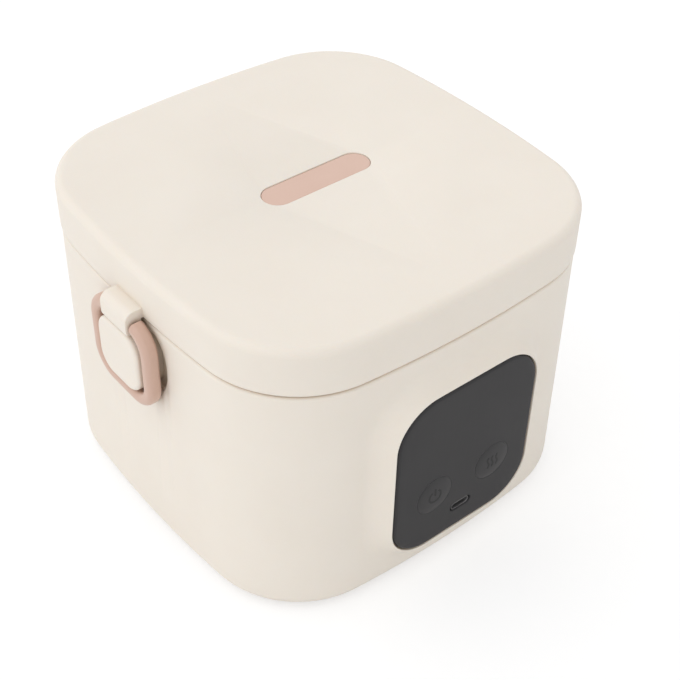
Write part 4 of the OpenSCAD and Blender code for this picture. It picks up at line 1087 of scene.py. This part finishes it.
def cylinder(b, sides, layers, rings, r, depth):
    """A closed cylinder about its own middle, with layers along it and rings in its ends."""
    return b.add("GeometryNodeMeshCylinder", {
        "Vertices": sides, "Side Segments": layers, "Fill Segments": rings, "Radius": r, "Depth": depth,
    }).outputs["Mesh"]


def spin(b, mesh, change):
    """Moves a turned mesh's points: change gets the radius and x, y, z, and gives a scale and a lift."""
    spot = b.add("GeometryNodeInputPosition").outputs[0]
    x, y, z = b.add("ShaderNodeSeparateXYZ", {0: spot}).outputs
    out = b.math("SQRT", b.plus(b.times(x, x), b.times(y, y)))
    scale, rise = change(out, x, y, z)
    moved = b.join_xyz(b.times(x, scale), b.times(y, scale), b.plus(z, rise))
    return b.add("GeometryNodeSetPosition", {"Geometry": mesh, "Position": moved}).outputs[0]


def lift(b, mesh, height):
    return b.add("GeometryNodeTransform", {"Geometry": mesh, "Translation": b.join_xyz(z=height)}).outputs[0]


def set_out(b, given, result, piece, **more):
    """One real piece with its material on every place."""
    copies = b.add("GeometryNodeInstanceOnPoints", {"Points": given["Places"], "Instance": piece, **more})
    real = b.add("GeometryNodeRealizeInstances", {"Geometry": copies.outputs[0]}).outputs[0]
    skinned = b.add("GeometryNodeSetMaterial", {"Geometry": real, "Material": given["Material"]}).outputs[0]
    b.wire(skinned, result)


def screw_tree():
    """A cross-head screw: domed head, or a flat one for a countersink, and a shank with a real thread."""
    tree, b, given, result = node_tree("screw_set", [
        ("Head Diameter", "Float", 0.0056), ("Head Height", "Float", 0.0014),
        ("Shank Diameter", "Float", 0.0029), ("Length", "Float", 0.012), ("Thread Pitch", "Float", 0.0011),
        ("Recess Width", "Float", 0.0009), ("Countersunk", "Float", 0.0), ("Direction", "Vector", (0, 0, 1)),
        ("Turn Seed", "Int", 3), ("Material", "Material"),
    ])
    wide, h, flat = given["Head Diameter"], given["Head Height"], given["Countersunk"]
    shank_d, length = given["Shank Diameter"], given["Length"]
    r, half = b.over(wide, 2.0), b.over(h, 2.0)
    domed = b.minus(1.0, flat)
    slim = b.minus(1.0, b.over(shank_d, wide))

    def head_shape(out, x, y, z):
        low = b.span(z, half, b.times(half, -1.0))
        rise = b.times(b.math("POWER", b.over(out, r), 3.0), b.times(h, 0.45))
        cone = b.minus(1.0, b.times(b.times(b.minus(1.0, low), slim), flat))
        return cone, b.times(b.times(rise, low), domed)

    head = spin(b, cylinder(b, 40, 4, 6, r, h), head_shape)
    head = lift(b, head, b.times(half, b.minus(b.times(flat, 2.0), 1.0)))
    deep, long = b.times(h, 0.62), b.times(wide, 0.6)
    cut = b.add("GeometryNodeMeshBoolean", {"Mesh 1": head}, operation="DIFFERENCE", solver="EXACT")
    for sides in ((long, given["Recess Width"]), (given["Recess Width"], long)):
        size = b.join_xyz(*sides, b.times(deep, 2.0))
        arm = b.add("GeometryNodeMeshCube", {"Size": size}).outputs["Mesh"]
        arm = spin(b, arm, lambda out, x, y, z: (b.span(z, 0.0, deep, 1.0, 0.62), 0.0))
        b.wire(lift(b, arm, b.times(b.times(h, domed), -1.0)), cut.inputs["Mesh 2"])
    start = b.times(b.times(h, 0.95), flat)

    def shank_shape(out, x, y, z):
        along = b.plus(z, b.over(length, 2.0))
        around = b.over(b.math("ARCTAN2", y, x), 2 * math.pi)
        turn = b.minus(b.over(along, given["Thread Pitch"]), around)
        tooth = b.times(b.math("ABSOLUTE", b.minus(b.math("FRACT", turn), 0.5)), 0.36)
        tip = b.span(b.minus(length, along), 0.0, shank_d, 0.35, 1.0)
        squeeze = b.times(start, b.minus(1.0, b.over(along, length)))
        return b.times(b.minus(1.0, tooth), tip), squeeze

    shank = spin(b, cylinder(b, 24, 72, 1, b.over(shank_d, 2.0), length), shank_shape)
    whole = b.add("GeometryNodeJoinGeometry")
    for mesh in (cut.outputs[0], lift(b, shank, b.over(length, 2.0))):
        b.wire(mesh, whole.inputs[0])
    chance = b.add("FunctionNodeRandomValue", {"Seed": given["Turn Seed"]}, data_type="FLOAT")
    chance.inputs[3].default_value = 2 * math.pi
    angle = {"Axis": (0, 0, 1), "Angle": chance.outputs[1]}
    angle = b.add("FunctionNodeAxisAngleToRotation", angle).outputs[0]
    aim = b.add("FunctionNodeAlignRotationToVector", {"Vector": given["Direction"]}, axis="Z").outputs[0]
    aim = {"Rotation": aim, "Rotate By": angle}
    aim = b.add("FunctionNodeRotateRotation", aim, rotation_space="LOCAL").outputs[0]
    set_out(b, given, result, whole.outputs[0], Rotation=aim)
    return tree


def foot_tree():
    """A rubber foot: rounded lower edge and a ring groove in its sole."""
    tree, b, given, result = node_tree("foot_set", [
        ("Diameter", "Float", 0.016), ("Height", "Float", 0.0025), ("Edge", "Float", 0.0007),
        ("Groove Width", "Float", 0.0009), ("Groove Depth", "Float", 0.0005), ("Material", "Material"),
    ])
    r, half = b.over(given["Diameter"], 2.0), b.over(given["Height"], 2.0)

    def foot_shape(out, x, y, z):
        low = b.span(z, half, b.times(half, -1.0))
        t = b.span(out, b.minus(r, given["Edge"]), r)
        turn = b.minus(1.0, b.math("SQRT", b.minus(1.0, b.times(t, t))))
        edge = b.times(b.times(turn, given["Edge"]), b.math("POWER", low, 2.0))
        off = b.math("ABSOLUTE", b.minus(out, b.times(r, 0.6)))
        deep = b.times(given["Groove Depth"], b.math("POWER", low, 30.0))
        return 1.0, b.plus(edge, b.times(b.span(off, given["Groove Width"], 0.0), deep))

    foot = spin(b, cylinder(b, 56, 5, 28, r, given["Height"]), foot_shape)
    set_out(b, given, result, lift(b, foot, half))
    return tree


def set_on(tree, name, spots, sizes, body, slot, node):
    """A plain mesh of the tree's piece on every spot, placed on its body."""
    mesh = bpy.data.meshes.new(name)
    mesh.from_pydata([tuple(p) for p in spots], [], [])
    piece = put(name, mesh)
    made = piece.modifiers.new("set", "NODES")
    made.node_group = tree
    values = {**sizes, "Material": FINISHES[slot]}
    for item in tree.interface.items_tree:
        if item.in_out == "INPUT" and item.name in values:
            made[item.identifier] = values[item.name]
    settled(piece)
    place(piece, body, slot, node)


SCREW, FOOT = screw_tree(), foot_tree()


def screws(
    name, spots, length, node, body="base", seed=1, aim=(0, 0, 1), head=(5.6, 1.4), shank=2.9, flat=0.0,
):
    sizes = {
        "Head Diameter": head[0] * MM, "Head Height": head[1] * MM, "Shank Diameter": shank * MM,
        "Length": length * MM, "Recess Width": head[0] * 0.16 * MM, "Thread Pitch": 1.1 * MM,
        "Countersunk": flat, "Direction": aim, "Turn Seed": seed,
    }
    set_on(SCREW, name, spots, sizes, body, "screw_steel", node)


def fixings():
    """All screws, each from its head's seat, and the feet."""
    spots = [level(x, y, COVER_TOP - 1) for x, y in four(COVER_SCREW)]
    screws("cover_fixings", spots, 12.4, "cover_screws", seed=3)
    spots = [level(x, y, PLATE_Z) for x, y in four(LID_SCREW)]
    screws("lid_fixings", spots, 11, "lid_screws", "lid", seed=5, flat=1.0)
    spots = [level(x, y, 42.2) for x, y in shield_spots()]
    screws("shield_fixings", spots, 2.4, "shield_screws", seed=8)
    spots = [front(x, PANEL_Z + z, 78.5) for x, z in four(BOARD_SCREW_X, BOARD_SCREW_Z)]
    screws("board_fixings", spots, 4.6, "board_screws", seed=13, aim=(0, -1, 0), head=(4.6, 1.2), shank=2.5)
    spots = [left(0, STRIKE_Z + z, 79.75) for z in (-STRIKE_SCREW, STRIKE_SCREW)]
    screws("strike_fixings", spots, 6.35, "strike_screws", seed=21, aim=(-1, 0, 0))
    spots = [level(x, y, 0) for x, y in four(FOOT_AT)]
    sizes = {
        "Diameter": 16 * MM, "Height": 2.5 * MM, "Edge": 0.7 * MM, "Groove Width": 0.9 * MM,
        "Groove Depth": 0.5 * MM,
    }
    set_on(FOOT, "sole_feet", spots, sizes, "base", "foot_rubber", "rubber_feet")


def buttons():
    """Both caps with their marks: a power sign, and three waves for heat."""
    turns = [math.radians(38 + 284 * i / 30) for i in range(31)]
    power = [[(2.9 * math.sin(a), 2.9 * math.cos(a) - 0.2) for a in turns], [(0, 0.4), (0, 3.4)]]
    push_button("power_cap", -BUTTON_X, power, "power_button", "power_button")
    steps = [i / 16 for i in range(17)]
    waves = [[(u + 0.45 * math.sin(t * 2 * math.pi), -2.6 + 5.2 * t) for t in steps] for u in (-2.2, 0, 2.2)]
    push_button("heat_cap", BUTTON_X, waves, "heat_button", "heat_button")


fixings()
body_moulding()
lid_moulding()
lid_band()
carry_ring()
strike_block()
front_panel()
buttons()
port_shell()
inner_pot()
inner_wall()
loose_tray()
lid_pan()
lip_seal()
pivot_pin()
base_plate()


# Floor, light and camera

def floor():
    """A pale floor that shows white to the camera and keeps the box's shadow."""
    mesh = bpy.data.meshes.new("floor")
    half = 2.5
    corners = [(-half, -half, 0), (half, -half, 0), (half, half, 0), (-half, half, 0)]
    mesh.from_pydata(corners, [], [(0, 1, 2, 3)])
    put("floor", mesh)
    ground, b = bare_material("floor")
    real = b.add("ShaderNodeBsdfDiffuse", {"Color": (0.93, 0.93, 0.93, 1)})
    shown = b.add("ShaderNodeBsdfDiffuse", {"Color": (0.5, 0.5, 0.5, 1)})
    glow = b.add("ShaderNodeEmission", {"Color": (1, 1, 1, 1), "Strength": 0.557})
    both = b.add("ShaderNodeAddShader", {0: shown.outputs[0], 1: glow.outputs[0]})
    seen = b.add("ShaderNodeLightPath").outputs["Is Camera Ray"]
    either = b.add("ShaderNodeMixShader", {0: seen, 1: real.outputs[0], 2: both.outputs[0]})
    b.add("ShaderNodeOutputMaterial", {"Surface": either.outputs[0]})
    mesh.materials.append(ground)


def light():
    """An even sky, brighter up to the left and behind, white where it is seen; one soft lamp."""
    world = bpy.data.worlds.new("studio")
    bpy.context.scene.world = world
    world.use_nodes = True
    b = Board(world.node_tree)
    rays = b.add("ShaderNodeLightPath").outputs
    seen = b.math("MAXIMUM", rays["Is Camera Ray"], rays["Is Glossy Ray"])
    seen = b.math("MAXIMUM", seen, rays["Is Transmission Ray"])
    way = b.add("ShaderNodeTexCoord").outputs["Generated"]
    lean = {0: way, 1: (-0.62, 0.5, 0.6)}
    lean = b.add("ShaderNodeVectorMath", lean, operation="DOT_PRODUCT").outputs["Value"]
    soft = b.span(lean, -1.0, 1.0, 0.54, 1.13)
    sky = world.node_tree.nodes["Background"].inputs
    b.wire(b.add("ShaderNodeMix", {0: seen, 2: soft, 3: 1.0}, data_type="FLOAT").outputs[0], sky["Strength"])
    sky["Color"].default_value = (1, 1, 1, 1)
    lamp = put("key", bpy.data.lights.new("key", "SUN"))
    lamp.data.energy = 0.22
    lamp.data.angle = math.radians(60)
    lamp.rotation_mode = "QUATERNION"
    lamp.rotation_quaternion = Vector((-0.6, 0.2, 0.8)).to_track_quat("Z", "Y")


def camera():
    turn, tilt, roll = -0.6953, 0.7173, 0.0228
    spot = (-0.26277, -0.32795, 0.42023)
    back = Vector((math.sin(turn) * math.cos(tilt), -math.cos(turn) * math.cos(tilt), math.sin(tilt)))
    right = (-back).cross(Vector((0, 0, 1))).normalized()
    up = right.cross(-back)
    right, up = math.cos(roll) * right + math.sin(roll) * up, math.cos(roll) * up - math.sin(roll) * right
    eye = put("camera", bpy.data.cameras.new("camera"))
    eye.matrix_world = Matrix([(right[k], up[k], back[k], spot[k]) for k in range(3)] + [(0, 0, 0, 1)])
    eye.data.lens = 70.72
    eye.data.sensor_width = 36
    bpy.context.scene.camera = eye


floor()
light()
camera()
bpy.context.scene.view_settings.view_transform = "Standard"
